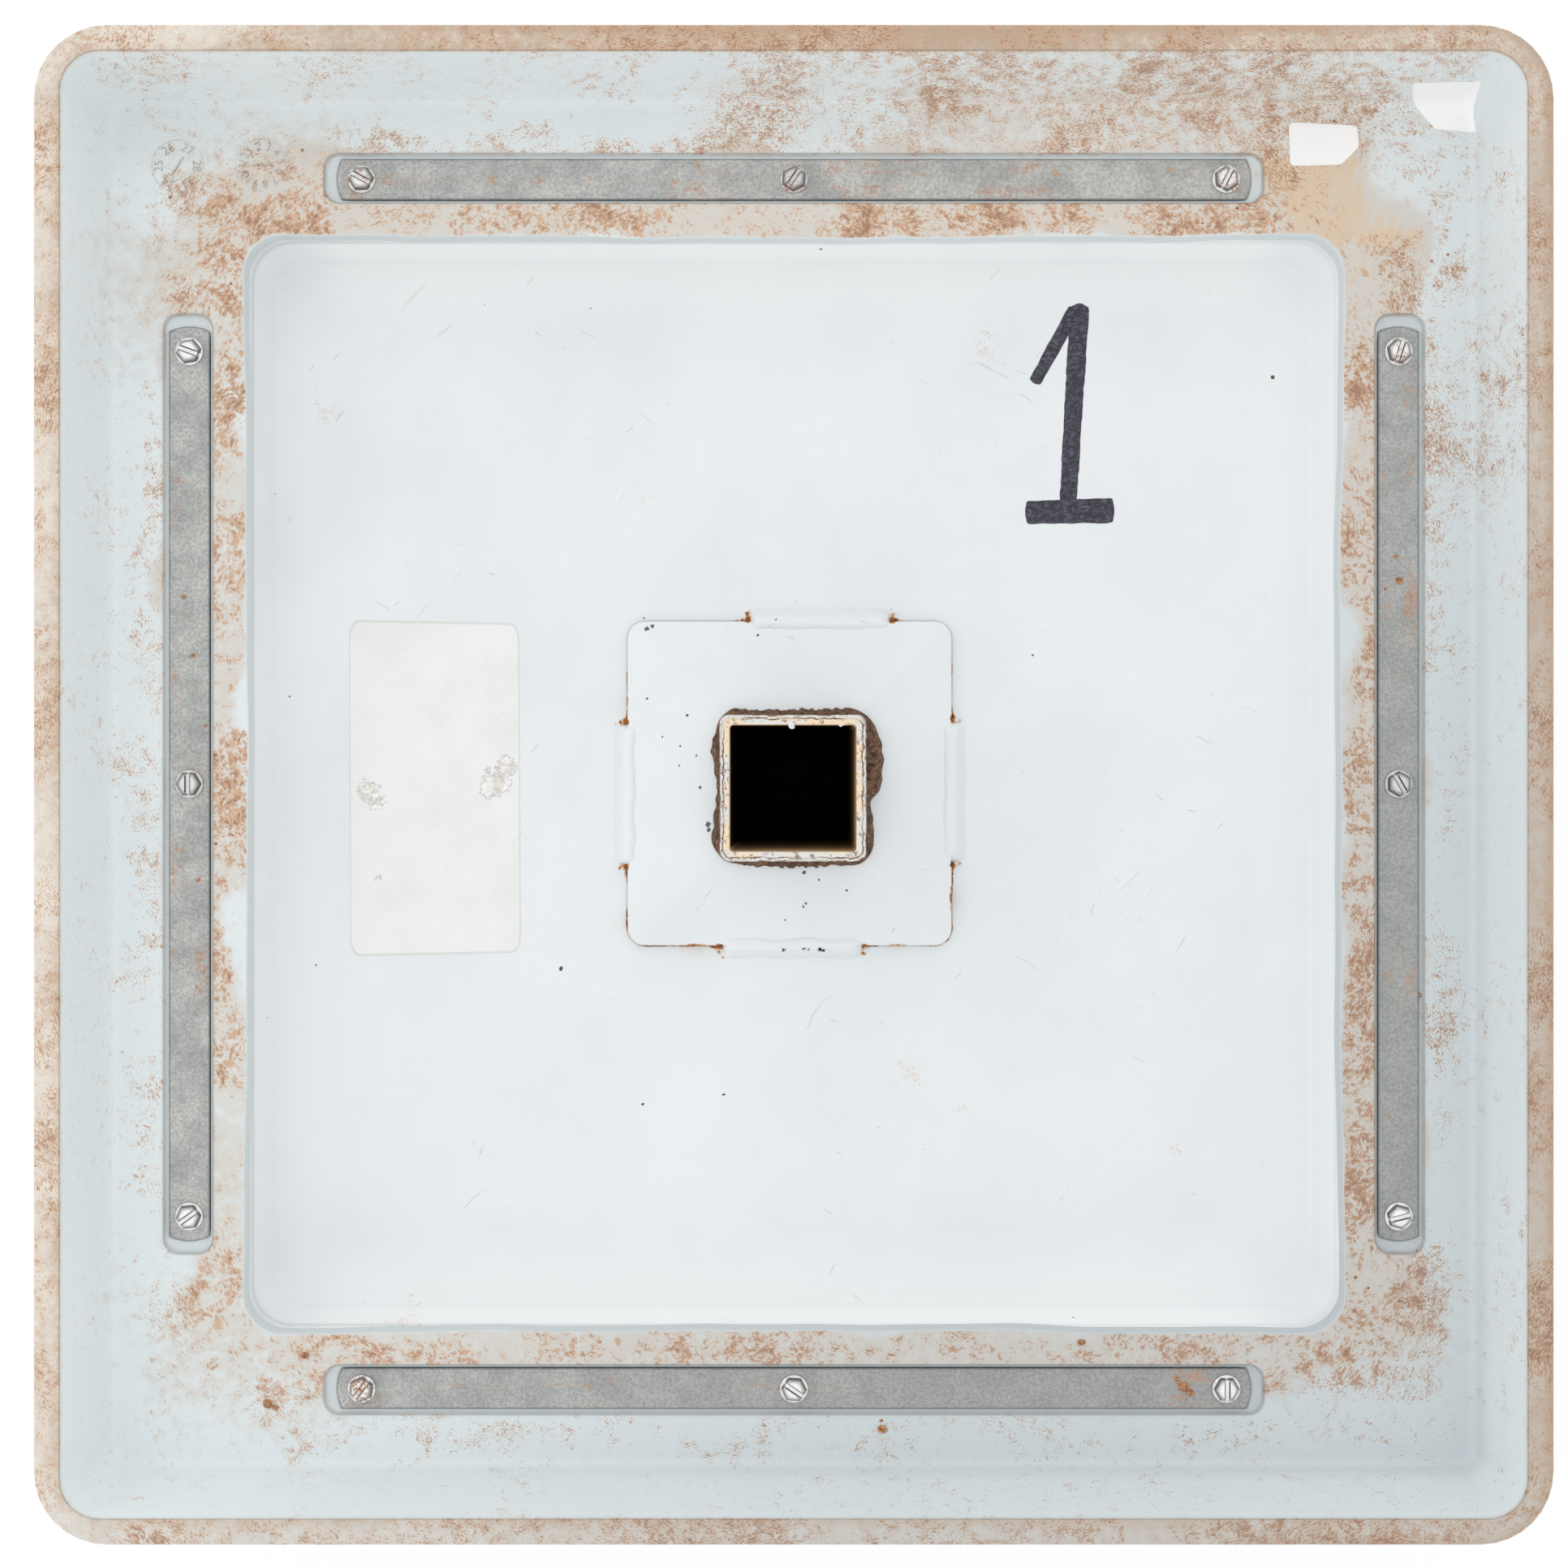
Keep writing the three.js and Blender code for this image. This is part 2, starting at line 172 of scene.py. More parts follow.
def gridShape(points, closeRows=False):
    # quads between neighbouring points of a grid whose rows are rings, and a flat face on the first and last
    # ring, unless the last ring joins the first
    rows, columns = points.shape[:2]
    row = np.arange(rows if closeRows else rows - 1)[:, None]
    column = np.arange(columns)[None, :]
    nextRow = (row + 1) % rows
    nextColumn = (column + 1) % columns
    around = (
        row * columns + column,
        nextRow * columns + column,
        nextRow * columns + nextColumn,
        row * columns + nextColumn,
    )
    quads = np.stack(np.broadcast_arrays(*around), axis=-1).reshape(-1, 4)
    corners = quads.ravel()
    sizes = np.full(len(quads), 4)
    if not closeRows:
        first = np.arange(columns)
        last = (rows - 1) * columns + np.arange(columns)[::-1]
        corners = np.concatenate([corners, first, last])
        sizes = np.concatenate([sizes, [columns, columns]])
    return points.reshape(-1, 3), corners, sizes


def joinShapes(shapes):
    # several shapes as one, with the corner numbers moved on by the points before them
    points, corners, sizes = zip(*shapes)
    offsets = np.cumsum([0] + [len(part) for part in points[:-1]])
    moved = [part + offset for part, offset in zip(corners, offsets)]
    return np.concatenate(points), np.concatenate(moved), np.concatenate(sizes)


def turnPoints(points, quarter, x=0.0):
    # points turned about the base's middle by quarter turns, and then moved along x
    c, s = ((1, 0), (0, 1), (-1, 0), (0, -1))[quarter]
    turned = np.array(points, float)
    turned[..., 0] = points[..., 0] * c - points[..., 1] * s + x
    turned[..., 1] = points[..., 0] * s + points[..., 1] * c
    return turned


def placeShape(shape, degrees, x, y, z=0.0):
    # a shape turned about its own upright axis, and then moved
    points, corners, sizes = shape
    c, s = math.cos(math.radians(degrees)), math.sin(math.radians(degrees))
    movedX = points[:, 0] * c - points[:, 1] * s + x
    movedY = points[:, 0] * s + points[:, 1] * c + y
    return np.column_stack([movedX, movedY, points[:, 2] + z]), corners, sizes


def makePiece(name, shape, material, replaced=(), values=None, sharpAngle=38):
    # a mesh of the shape, in metres, that rides on the base
    points, corners, sizes = shape
    mesh = bpy.data.meshes.new(name)
    mesh.vertices.add(len(points))
    mesh.vertices.foreach_set("co", (points * mm).astype(np.float32).ravel())
    mesh.loops.add(len(corners))
    mesh.loops.foreach_set("vertex_index", corners.astype(np.int32))
    mesh.polygons.add(len(sizes))
    mesh.polygons.foreach_set("loop_start", (np.cumsum(sizes) - sizes).astype(np.int32))
    for label, value in (values or {}).items():
        layer = mesh.attributes.new(label, "FLOAT", "POINT")
        layer.data.foreach_set("value", np.asarray(value, np.float32).ravel())
    mesh.update(calc_edges=True)
    mesh.validate()
    mesh.shade_smooth()
    mesh.set_sharp_from_angle(angle=math.radians(sharpAngle))
    mesh.materials.append(material)
    piece = bpy.data.objects.new(name, mesh)
    bpy.context.scene.collection.objects.link(piece)
    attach(piece, "root")
    if replaced:
        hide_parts(*replaced)


# Short ways to write shader nodes.
def screenColour(red, green, blue):
    # a colour as seen on a screen, 0 to 255, in the linear values that shaders take
    value = np.array([red, green, blue]) / 255
    linear = np.where(value <= 0.04045, value / 12.92, ((value + 0.055) / 1.055) ** 2.4)
    return (*linear.tolist(), 1.0)


def addNode(tree, kind, inputs=None, **settings):
    # a node with its settings, whose inputs are numbers, colours or other nodes' outputs
    node = tree.nodes.new(kind)
    for label, value in settings.items():
        setattr(node, label, value)
    for label, value in (inputs or {}).items():
        if isinstance(value, bpy.types.NodeSocket):
            tree.links.new(value, node.inputs[label])
        else:
            node.inputs[label].default_value = value
    return node


def calc(tree, operation, first, second=0.0, third=0.0):
    node = addNode(tree, "ShaderNodeMath", {0: first, 1: second, 2: third}, operation=operation)
    return node.outputs[0]


def ease(tree, value, low, high, toLow=0.0, toHigh=1.0):
    ends = {"Value": value, "From Min": low, "From Max": high, "To Min": toLow, "To Max": toHigh}
    return addNode(tree, "ShaderNodeMapRange", ends, interpolation_type="SMOOTHSTEP").outputs[0]


def mixColour(tree, factor, first, second):
    return addNode(tree, "ShaderNodeMix", {0: factor, 6: first, 7: second}, data_type="RGBA").outputs[2]


def twoTone(tree, factor, first, second):
    # a mix of two colours that are given as seen on a screen
    return mixColour(tree, factor, screenColour(*first), screenColour(*second))


def noise(tree, position, scale, detail=2.0, roughness=0.5, output="Fac"):
    inputs = {"Vector": position, "Scale": scale, "Detail": detail, "Roughness": roughness}
    return addNode(tree, "ShaderNodeTexNoise", inputs).outputs[output]


def vectorCalc(tree, operation, first, second):
    return addNode(tree, "ShaderNodeVectorMath", {0: first, 1: second}, operation=operation).outputs[0]


def attribute(tree, label):
    return addNode(tree, "ShaderNodeAttribute", attribute_name=label).outputs["Fac"]


def millimetres(tree):
    # the point on the piece, in millimetres
    point = addNode(tree, "ShaderNodeTexCoord").outputs["Object"]
    return vectorCalc(tree, "MULTIPLY", point, (1 / mm,) * 3)


def stretched(tree, position, angle, scale):
    # a pattern drawn out by these factors along axes turned by the angle
    inputs = {"Vector": position, "Rotation": (0, 0, angle), "Scale": scale}
    return addNode(tree, "ShaderNodeMapping", inputs, vector_type="TEXTURE").outputs[0]


def turnedRound(tree, position):
    # the point as its way round the base's middle, with the seam at the lower left corner, its distance from
    # the middle and its height
    part = addNode(tree, "ShaderNodeSeparateXYZ", {0: position}).outputs
    side = calc(tree, "SUBTRACT", part[1], part[0])
    ahead = calc(tree, "ADD", part[0], part[1])
    way = calc(tree, "MULTIPLY", calc(tree, "ARCTAN2", side, ahead), barLine)
    far = addNode(tree, "ShaderNodeVectorMath", {0: position}, operation="LENGTH").outputs["Value"]
    return addNode(tree, "ShaderNodeCombineXYZ", {0: way, 1: far, 2: part[2]}).outputs[0]


def slantAcross(tree, position):
    # 0 at the upper left and 1 at the lower right, the share of painted shade that darkens colours towards
    # the lower right
    part = addNode(tree, "ShaderNodeSeparateXYZ", {0: position}).outputs
    slant = calc(tree, "MULTIPLY_ADD", part[0], 0.8, calc(tree, "MULTIPLY", part[1], -0.65))
    return ease(tree, slant, -60, 190)


def bump(tree, height, depth):
    # depth is how far 0 to 1 of the height stands out, in millimetres
    return addNode(tree, "ShaderNodeBump", {"Height": height, "Distance": depth * mm}).outputs[0]


def useGroup(tree, group, **inputs):
    return addNode(tree, "ShaderNodeGroup", inputs, node_tree=group).outputs


def newGroup(name, inputs, outputs):
    group = bpy.data.node_groups.new(name, "ShaderNodeTree")
    for label, kind in inputs.items():
        group.interface.new_socket(label, in_out="INPUT", socket_type="NodeSocket" + kind)
    for label in outputs:
        group.interface.new_socket(label, in_out="OUTPUT", socket_type="NodeSocketFloat")
    return group, group.nodes.new("NodeGroupInput").outputs, group.nodes.new("NodeGroupOutput").inputs


def newMaterial(name, **fixed):
    # a material with one shader, whose sockets that are the same all over are set here
    material = bpy.data.materials.new(name)
    material.use_nodes = True
    shader = material.node_tree.nodes["Principled BSDF"]
    for label, value in fixed.items():
        shader.inputs[label].default_value = value
    return material, material.node_tree, shader.inputs


def feed(tree, shader, **sources):
    # links outputs to the shader, with spaces in the socket's name written as underscores
    for label, source in sources.items():
        tree.links.new(source, shader[label.replace("_", " ")])


# Effects that several finishes share.
def clayStain():
    # Dried clay: flecks where a sum of fine, middle and broad noise passes an edge that falls as the density
    # rises. The fine noise is drawn out round the base's middle, the way a turned base rubs its clay. It
    # turns to larger blobs where there are spots, which are scattered cells. Between them run threads, where
    # another noise crosses its middle. The haze is a thin cloudy wash.
    group, given, result = newGroup(
        "clayStain",
        {"Position": "Vector", "Density": "Float", "Spots": "Float", "Wash": "Float"},
        ("Flecks", "Depth", "Haze"),
    )
    place, density = given["Position"], given["Density"]
    flow = vectorCalc(group, "SUBTRACT", noise(group, place, 0.06, output="Color"), (0.5, 0.5, 0.5))
    flowing = vectorCalc(group, "ADD", place, vectorCalc(group, "MULTIPLY", flow, (9, 9, 9)))
    combed = turnedRound(group, flowing)
    strokes = noise(group, stretched(group, combed, 0.0, (1.5, 0.8, 1)), 1.9, 3, 0.6)
    blobs = noise(group, stretched(group, combed, 0.0, (1.2, 0.9, 1)), 0.85, 3, 0.6)
    rounder = ease(group, given["Spots"], 0.2, 0.9, 0.0, 0.62)
    fine = calc(group, "MULTIPLY_ADD", calc(group, "SUBTRACT", blobs, strokes), rounder, strokes)
    middle = noise(group, flowing, 0.24, 3, 0.6)
    broad = calc(group, "MULTIPLY", noise(group, place, 0.035), 0.18)
    coarse = calc(group, "MULTIPLY_ADD", middle, 0.3, broad)
    total = calc(group, "MULTIPLY_ADD", fine, 0.52, coarse)
    bend = calc(group, "MULTIPLY_ADD", density, 0.14, -0.34)
    over = calc(group, "SUBTRACT", total, calc(group, "MULTIPLY_ADD", density, bend, 0.636))
    flecks = calc(group, "MULTIPLY", ease(group, over, 0.0, 0.03), ease(group, density, 0.0, 0.08))
    cells = addNode(group, "ShaderNodeTexVoronoi", {"Vector": flowing, "Scale": 0.19})
    chance = addNode(group, "ShaderNodeSeparateColor", {0: cells.outputs["Color"]})
    swing = calc(group, "SUBTRACT", strokes, 0.5)
    ragged = calc(group, "MULTIPLY_ADD", swing, 0.5, cells.outputs["Distance"])
    size = calc(group, "MULTIPLY_ADD", chance.outputs[0], 0.18, 0.12)
    disc = ease(group, calc(group, "SUBTRACT", size, ragged), 0.0, 0.06)
    share = calc(group, "MULTIPLY", ease(group, density, 0.25, 0.6), given["Spots"])
    wanted = calc(group, "LESS_THAN", chance.outputs[1], share)
    overWash = calc(group, "SUBTRACT", given["Wash"], 0.4)
    cloud = calc(group, "ADD", calc(group, "MULTIPLY", middle, 0.8), overWash)
    fromMiddle = calc(group, "ABSOLUTE", calc(group, "SUBTRACT", noise(group, flowing, 0.75, 2, 0.6), 0.5))
    near = calc(group, "MULTIPLY", ease(group, over, -0.1, -0.01), ease(group, density, 0.2, 0.5, 0.0, 0.35))
    threads = calc(group, "MULTIPLY", ease(group, fromMiddle, 0.012, 0.05, 1.0, 0.0), near)
    blots = calc(group, "MAXIMUM", calc(group, "MULTIPLY", disc, wanted), threads)
    group.links.new(calc(group, "MAXIMUM", flecks, blots), result["Flecks"])
    group.links.new(ease(group, over, 0.015, 0.13), result["Depth"])
    group.links.new(ease(group, cloud, 0.02, 0.62), result["Haze"])
    return group


def fineScuffs():
    # thin scratches from noise drawn out two ways, and small specks from scattered cells
    inputs = {"Position": "Vector", "Amount": "Float"}
    group, given, result = newGroup("fineScuffs", inputs, ("Scratches", "Specks"))
    place, amount = given["Position"], given["Amount"]
    drift = vectorCalc(group, "MULTIPLY", noise(group, place, 0.05, output="Color"), (9, 9, 9))
    bent = vectorCalc(group, "ADD", place, drift)
    first = noise(group, stretched(group, bent, 0.9, (16, 0.7, 1)), 0.5, 1)
    second = noise(group, stretched(group, bent, -0.4, (14, 0.8, 1)), 0.55, 1)
    lines = calc(group, "MAXIMUM", ease(group, first, 0.74, 0.78), ease(group, second, 0.75, 0.79))
    patches = ease(group, noise(group, place, 0.025), 0.5, 0.66)
    cells = addNode(group, "ShaderNodeTexVoronoi", {"Vector": bent, "Scale": 0.07})
    chance = addNode(group, "ShaderNodeSeparateColor", {0: cells.outputs["Color"]})
    reach = calc(group, "MULTIPLY", chance.outputs[0], 0.055)
    dots = ease(group, calc(group, "SUBTRACT", reach, cells.outputs["Distance"]), 0.0, 0.012)
    kept = calc(group, "LESS_THAN", chance.outputs[1], amount)
    scratches = calc(group, "MULTIPLY", calc(group, "MULTIPLY", lines, patches), amount)
    group.links.new(scratches, result["Scratches"])
    group.links.new(calc(group, "MULTIPLY", dots, kept), result["Specks"])
    return group


def zincMottle():
    # clouds and fine crystals of a zinc coat
    group, given, result = newGroup("zincMottle", {"Position": "Vector"}, ("Cloud", "Grain"))
    cloud = noise(group, given["Position"], 0.09, 4, 0.6)
    grain = noise(group, given["Position"], 1.1, 4, 0.7)
    group.links.new(ease(group, cloud, 0.3, 0.7), result["Cloud"])
    group.links.new(ease(group, grain, 0.32, 0.68), result["Grain"])
    return group


clayGroup = clayStain()
scuffGroup = fineScuffs()
zincGroup = zincMottle()
clayLight = screenColour(216, 179, 148)
clayDark = screenColour(160, 113, 84)


# Finishes.
def rubberFinish():
    # bluish white rubber with ground-in clay and a tan stained rim, with painted shade that darkens it
    # towards the lower right and in lines, slots and on the lip
    material, tree, shader = newMaterial("clayedRubber", **{"Specular IOR Level": 0.3})
    place = millimetres(tree)
    wash = attribute(tree, "wash")
    density, spots = attribute(tree, "clay"), attribute(tree, "spots")
    stain = useGroup(tree, clayGroup, Position=place, Density=density, Spots=spots, Wash=wash)
    clean = twoTone(tree, noise(tree, place, 0.02, 3), (226, 235, 238), (235, 241, 242))
    height = addNode(tree, "ShaderNodeSeparateXYZ", {0: place}).outputs[2]
    # painted shade: darker towards the lower right, with less of it up the wall and on the rim
    slant = slantAcross(tree, place)
    shaded = calc(tree, "MULTIPLY", slant, ease(tree, height, 46, 56, 1.0, 0.45))
    shadedToLowerRight = mixColour(tree, shaded, clean, screenColour(207, 215, 218))
    streaks = noise(tree, stretched(tree, place, 1.35, (5, 1, 1)), 0.35, 4, 0.65)
    smeared = calc(tree, "MULTIPLY_ADD", calc(tree, "SUBTRACT", streaks, 0.5), 1.3, wash)
    # the pale wash, with painted shade towards the lower right
    pale = twoTone(tree, slant, (218, 212, 203), (204, 199, 192))
    washed = mixColour(tree, ease(tree, smeared, 0.72, 1.2), pale, screenColour(222, 197, 167))
    hazed = mixColour(tree, calc(tree, "MULTIPLY", stain["Haze"], 0.88), shadedToLowerRight, washed)
    mottle = calc(tree, "ADD", noise(tree, place, 0.03, 4, 0.6), noise(tree, place, 0.4, 6, 0.72))
    worn = calc(tree, "MULTIPLY_ADD", calc(tree, "SUBTRACT", mottle, 1.0), 1.9, wash)
    # the rim's light tan, with painted shade towards the lower right
    lightTan = twoTone(tree, slant, (234, 226, 214), (200, 194, 185))
    tan = mixColour(tree, ease(tree, worn, -0.2, 1.2), lightTan, screenColour(191, 168, 146))
    rim = mixColour(tree, attribute(tree, "rim"), hazed, tan)
    dried = mixColour(tree, stain["Depth"], clayLight, clayDark)
    # the clay flecks, with painted shade towards the lower right
    clay = mixColour(tree, calc(tree, "MULTIPLY", slant, 0.35), dried, screenColour(122, 88, 66))
    cover = calc(tree, "MULTIPLY_ADD", spots, 0.08, 0.82)
    stained = mixColour(tree, calc(tree, "MULTIPLY", stain["Flecks"], cover), rim, clay)
    # painted shade in the line inside the rim, at the slots and on the lip, and grime on the rim, darken the
    # colour
    colour = mixColour(tree, attribute(tree, "grimeAndShade"), stained, screenColour(98, 88, 78))
    grain = noise(tree, place, 2.2, 3, 0.6)
    rough = ease(tree, stain["Haze"], 0.0, 1.0, 0.55, 0.8)
    feed(tree, shader, Base_Color=colour, Roughness=rough, Normal=bump(tree, grain, 0.03))
    return material


def enamelFinish():
    # white gloss paint with scratches and specks, rust at its seams, painted light on the pan's walls, and
    # dark where it is bare and where shade is painted
    material, tree, shader = newMaterial("whiteEnamel", **{"Coat Roughness": 0.15})
    place = millimetres(tree)
    scuffs = useGroup(tree, scuffGroup, Position=place, Amount=0.5)
    smoke = noise(tree, place, 0.018, 4, 0.6)
    even = twoTone(tree, ease(tree, smoke, 0.35, 0.7), (238, 242, 244), (232, 237, 240))
    # painted light: paler on the pan's walls and the floor beside them
    paint = mixColour(tree, attribute(tree, "bright"), even, screenColour(252, 253, 253))
    faint = calc(tree, "MULTIPLY", scuffs["Scratches"], 0.8)
    scratched = mixColour(tree, faint, paint, screenColour(176, 166, 154))
    specked = mixColour(tree, scuffs["Specks"], scratched, screenColour(84, 66, 50))
    smear = useGroup(tree, clayGroup, Position=place, Density=attribute(tree, "clay"), Spots=0.0, Wash=0.0)
    dirty = mixColour(tree, calc(tree, "MULTIPLY", smear["Flecks"], 0.6), specked, clayLight)
    rust = attribute(tree, "rust")
    bitten = calc(tree, "ADD", rust, calc(tree, "SUBTRACT", noise(tree, place, 0.5, 4, 0.65), 0.5))
    mottle = ease(tree, noise(tree, place, 0.9, 3), 0.35, 0.65)
    brown = twoTone(tree, mottle, (196, 122, 58), (84, 52, 32))
    golden = mixColour(tree, ease(tree, bitten, 0.4, 0.6, 0.0, 0.8), dirty, screenColour(216, 160, 92))
    rusted = mixColour(tree, ease(tree, bitten, 0.56, 0.72), golden, brown)
    bare = attribute(tree, "bare")
    # near black where the steel is bare, and where the bare attribute carries painted shade
    colour = mixColour(tree, bare, rusted, screenColour(10, 9, 8))
    peel = noise(tree, place, 0.35, 2)
    rough = ease(tree, calc(tree, "ADD", scuffs["Scratches"], rust), 0.0, 1.0, 0.35, 0.7)
    gloss = ease(tree, calc(tree, "ADD", bare, rust), 0.0, 0.6, 0.2, 0.0)
    shine = bump(tree, peel, 0.02)
    feed(tree, shader, Base_Color=colour, Roughness=rough, Metallic=bare, Coat_Weight=gloss, Normal=shine)
    return material


def tubeFinish():
    # square steel tube: white paint worn to cream primer, with brown lines round its end face, and painted
    # shade that turns its bore from tan to black with depth
    material, tree, shader = newMaterial("wornTube", **{"Roughness": 0.62, "Specular IOR Level": 0.25})
    place = millimetres(tree)
    scuffs = useGroup(tree, scuffGroup, Position=place, Amount=0.9)
    chips = noise(tree, place, 0.35, 5, 0.65)
    ragged = calc(tree, "SUBTRACT", chips, 0.5)
    ring = calc(tree, "MULTIPLY_ADD", ragged, 0.8, attribute(tree, "ring"))
    face = twoTone(tree, ease(tree, ring, 0.3, 0.42), (222, 219, 212), (242, 222, 192))
    fromLine = calc(tree, "ABSOLUTE", calc(tree, "SUBTRACT", ring, 0.36))
    middleLine = ease(tree, fromLine, 0.03, 0.1, 1.0, 0.0)
    lines = calc(tree, "MAXIMUM", middleLine, ease(tree, ring, 0.0, 0.16, 1.0, 0.0))
    broken = calc(tree, "MULTIPLY", lines, ease(tree, noise(tree, place, 0.14, 3), 0.3, 0.55, 0.15, 1.0))
    bitten = ease(tree, noise(tree, place, 0.7, 5, 0.68), 0.52, 0.66, 0.0, 0.8)
    painted = ease(tree, noise(tree, place, 0.16, 3), 0.44, 0.58)
    patchy = mixColour(tree, painted, face, screenColour(226, 226, 222))
    lined = mixColour(tree, calc(tree, "MAXIMUM", broken, bitten), patchy, screenColour(112, 80, 56))
    worn = calc(tree, "MULTIPLY_ADD", ragged, 1.6, attribute(tree, "end"))
    primer = twoTone(tree, bitten, (226, 204, 174), (150, 116, 84))
    paint = twoTone(tree, scuffs["Scratches"], (228, 229, 228), (120, 104, 92))
    side = mixColour(tree, ease(tree, worn, 0.3, 0.55), paint, primer)
    rootward = calc(tree, "ADD", attribute(tree, "rust"), ragged)
    rusted = mixColour(tree, ease(tree, rootward, 0.42, 0.62), side, screenColour(104, 72, 50))
    outside = mixColour(tree, attribute(tree, "face"), rusted, lined)
    # painted shade in the bore: tan where light reaches, black deeper down
    bore = twoTone(tree, ease(tree, attribute(tree, "depth"), 0.0, 1.0), (206, 172, 128), (2, 2, 2))
    colour = mixColour(tree, attribute(tree, "inside"), outside, bore)
    feed(tree, shader, Base_Color=colour, Normal=bump(tree, chips, 0.12))
    return material


def crustFinish():
    # brown crust of clay and rust
    material, tree, shader = newMaterial("rootCrust", **{"Roughness": 0.9})
    place = millimetres(tree)
    lumps = noise(tree, stretched(tree, turnedRound(tree, place), 0.0, (9, 1, 1)), 0.7, 6, 0.68)
    brown = twoTone(tree, ease(tree, lumps, 0.38, 0.6), (60, 40, 28), (128, 94, 70))
    clayed = ease(tree, noise(tree, place, 1.1, 4, 0.6), 0.6, 0.72)
    colour = mixColour(tree, clayed, brown, screenColour(196, 168, 140))
    feed(tree, shader, Base_Color=colour, Normal=bump(tree, lumps, 0.9))
    return material


def barFinish():
    # dull zinc plate with clay dried on it, with painted shade that greys it towards the lower right and
    # darkens its edges
    material, tree, shader = newMaterial("dullZinc")
    place = millimetres(tree)
    coat = useGroup(tree, zincGroup, Position=place)
    base = twoTone(tree, coat["Cloud"], (182, 184, 183), (214, 214, 210))
    # painted shade: greyer towards the lower right
    shaded = calc(tree, "MULTIPLY", slantAcross(tree, place), 0.7)
    shadedToLowerRight = mixColour(tree, shaded, base, screenColour(167, 169, 168))
    grainy = mixColour(tree, calc(tree, "MULTIPLY", coat["Grain"], 0.4), shadedToLowerRight, screenColour(118, 120, 119))
    stain = useGroup(tree, clayGroup, Position=place, Density=attribute(tree, "clay"), Spots=0.95, Wash=0.0)
    clay = twoTone(tree, stain["Depth"], (194, 148, 114), (152, 104, 74))
    colour = mixColour(tree, calc(tree, "MULTIPLY", stain["Flecks"], 0.66), grainy, clay)
    # painted shade: the edge attribute darkens the rounded top edge and the sides into an outline
    edge = mixColour(tree, attribute(tree, "edge"), colour, screenColour(110, 112, 112))
    metal = ease(tree, stain["Flecks"], 0.0, 1.0, 0.5, 0.0)
    rough = ease(tree, coat["Grain"], 0.0, 1.0, 0.5, 0.65)
    crystals = bump(tree, coat["Grain"], 0.015)
    feed(tree, shader, Base_Color=edge, Metallic=metal, Roughness=rough, Normal=crystals)
    return material


def screwFinish():
    # bright zinc plate, dulled where clay sits, with painted shade on the hexagon's slopes and sides, the
    # slot's walls and round the washer's edge
    material, tree, shader = newMaterial("brightZinc")
    place = millimetres(tree)
    coat = useGroup(tree, zincGroup, Position=place)
    base = twoTone(tree, coat["Grain"], (254, 254, 253), (246, 246, 245))
    stain = useGroup(tree, clayGroup, Position=place, Density=attribute(tree, "clay"), Spots=0.0, Wash=0.0)
    # painted shade, and each head's own dullness, darken the zinc
    dullAndShaded = mixColour(tree, attribute(tree, "grimeAndShade"), base, screenColour(54, 54, 53))
    colour = mixColour(tree, stain["Flecks"], dullAndShaded, screenColour(176, 126, 92))
    metal = ease(tree, stain["Flecks"], 0.0, 1.0, 0.3, 0.0)
    rough = ease(tree, coat["Grain"], 0.0, 1.0, 0.25, 0.4)
    crystals = bump(tree, coat["Grain"], 0.006)
    feed(tree, shader, Base_Color=colour, Metallic=metal, Roughness=rough, Normal=crystals)
    return material


def crumbFinish():
    # loose bits of dry clay
    material, tree, shader = newMaterial("dryClay", **{"Roughness": 0.95})
    place = millimetres(tree)
    lumps = noise(tree, place, 0.9, 4, 0.6)
    colour = twoTone(tree, ease(tree, lumps, 0.35, 0.65), (150, 98, 66), (205, 158, 120))
    feed(tree, shader, Base_Color=colour, Normal=bump(tree, lumps, 0.3))
    return material


def paperFinish():
    # blank label stock: clean off-white, scratched, and rough white paper where its face has torn off
    material, tree, shader = newMaterial("blankLabel", **{"Roughness": 0.5})
    place = millimetres(tree)
    age = noise(tree, place, 0.05, 4, 0.6)
    colour = twoTone(tree, ease(tree, age, 0.4, 0.7), (243, 244, 243), (238, 239, 237))
    scuffs = useGroup(tree, scuffGroup, Position=place, Amount=0.6)
    aged = mixColour(tree, attribute(tree, "aged"), screenColour(254, 254, 254), colour)
    faint = calc(tree, "MULTIPLY", scuffs["Scratches"], 0.5)
    worn = mixColour(tree, faint, aged, screenColour(196, 184, 172))
    pulp = noise(tree, place, 0.45, 5, 0.65)
    swing = calc(tree, "SUBTRACT", pulp, 0.5)
    torn = ease(tree, calc(tree, "ADD", attribute(tree, "torn"), swing), 0.5, 0.6)
    fibres = twoTone(tree, ease(tree, pulp, 0.4, 0.62), (222, 214, 204), (250, 250, 249))
    bare = mixColour(tree, torn, worn, fibres)
    edged = mixColour(tree, attribute(tree, "edge"), bare, screenColour(206, 204, 198))
    feed(tree, shader, Base_Color=edged, Normal=bump(tree, calc(tree, "MULTIPLY", pulp, torn), 0.35))
    return material


def inkFinish():
    # marker ink in overlapping strokes, thin and purplish where it was rubbed
    material, tree, shader = newMaterial("markerInk", **{"Roughness": 0.45})
    place = millimetres(tree)
    strokes = noise(tree, stretched(tree, place, 0.06, (1.6, 0.12, 1)), 1.1, 3, 0.6)
    blots = noise(tree, place, 0.7, 4, 0.6)
    thin = calc(tree, "MULTIPLY_ADD", strokes, 0.6, calc(tree, "MULTIPLY", blots, 0.4))
    colour = twoTone(tree, ease(tree, thin, 0.46, 0.66), (36, 33, 46), (112, 108, 128))
    feed(tree, shader, Base_Color=colour)
    return material


rubber = rubberFinish()
enamel = enamelFinish()
wornTube = tubeFinish()
crust = crustFinish()
dullZinc = barFinish()
brightZinc = screwFinish()
dryClay = crumbFinish()
blankLabel = paperFinish()
markerInk = inkFinish()
print("finishes made")


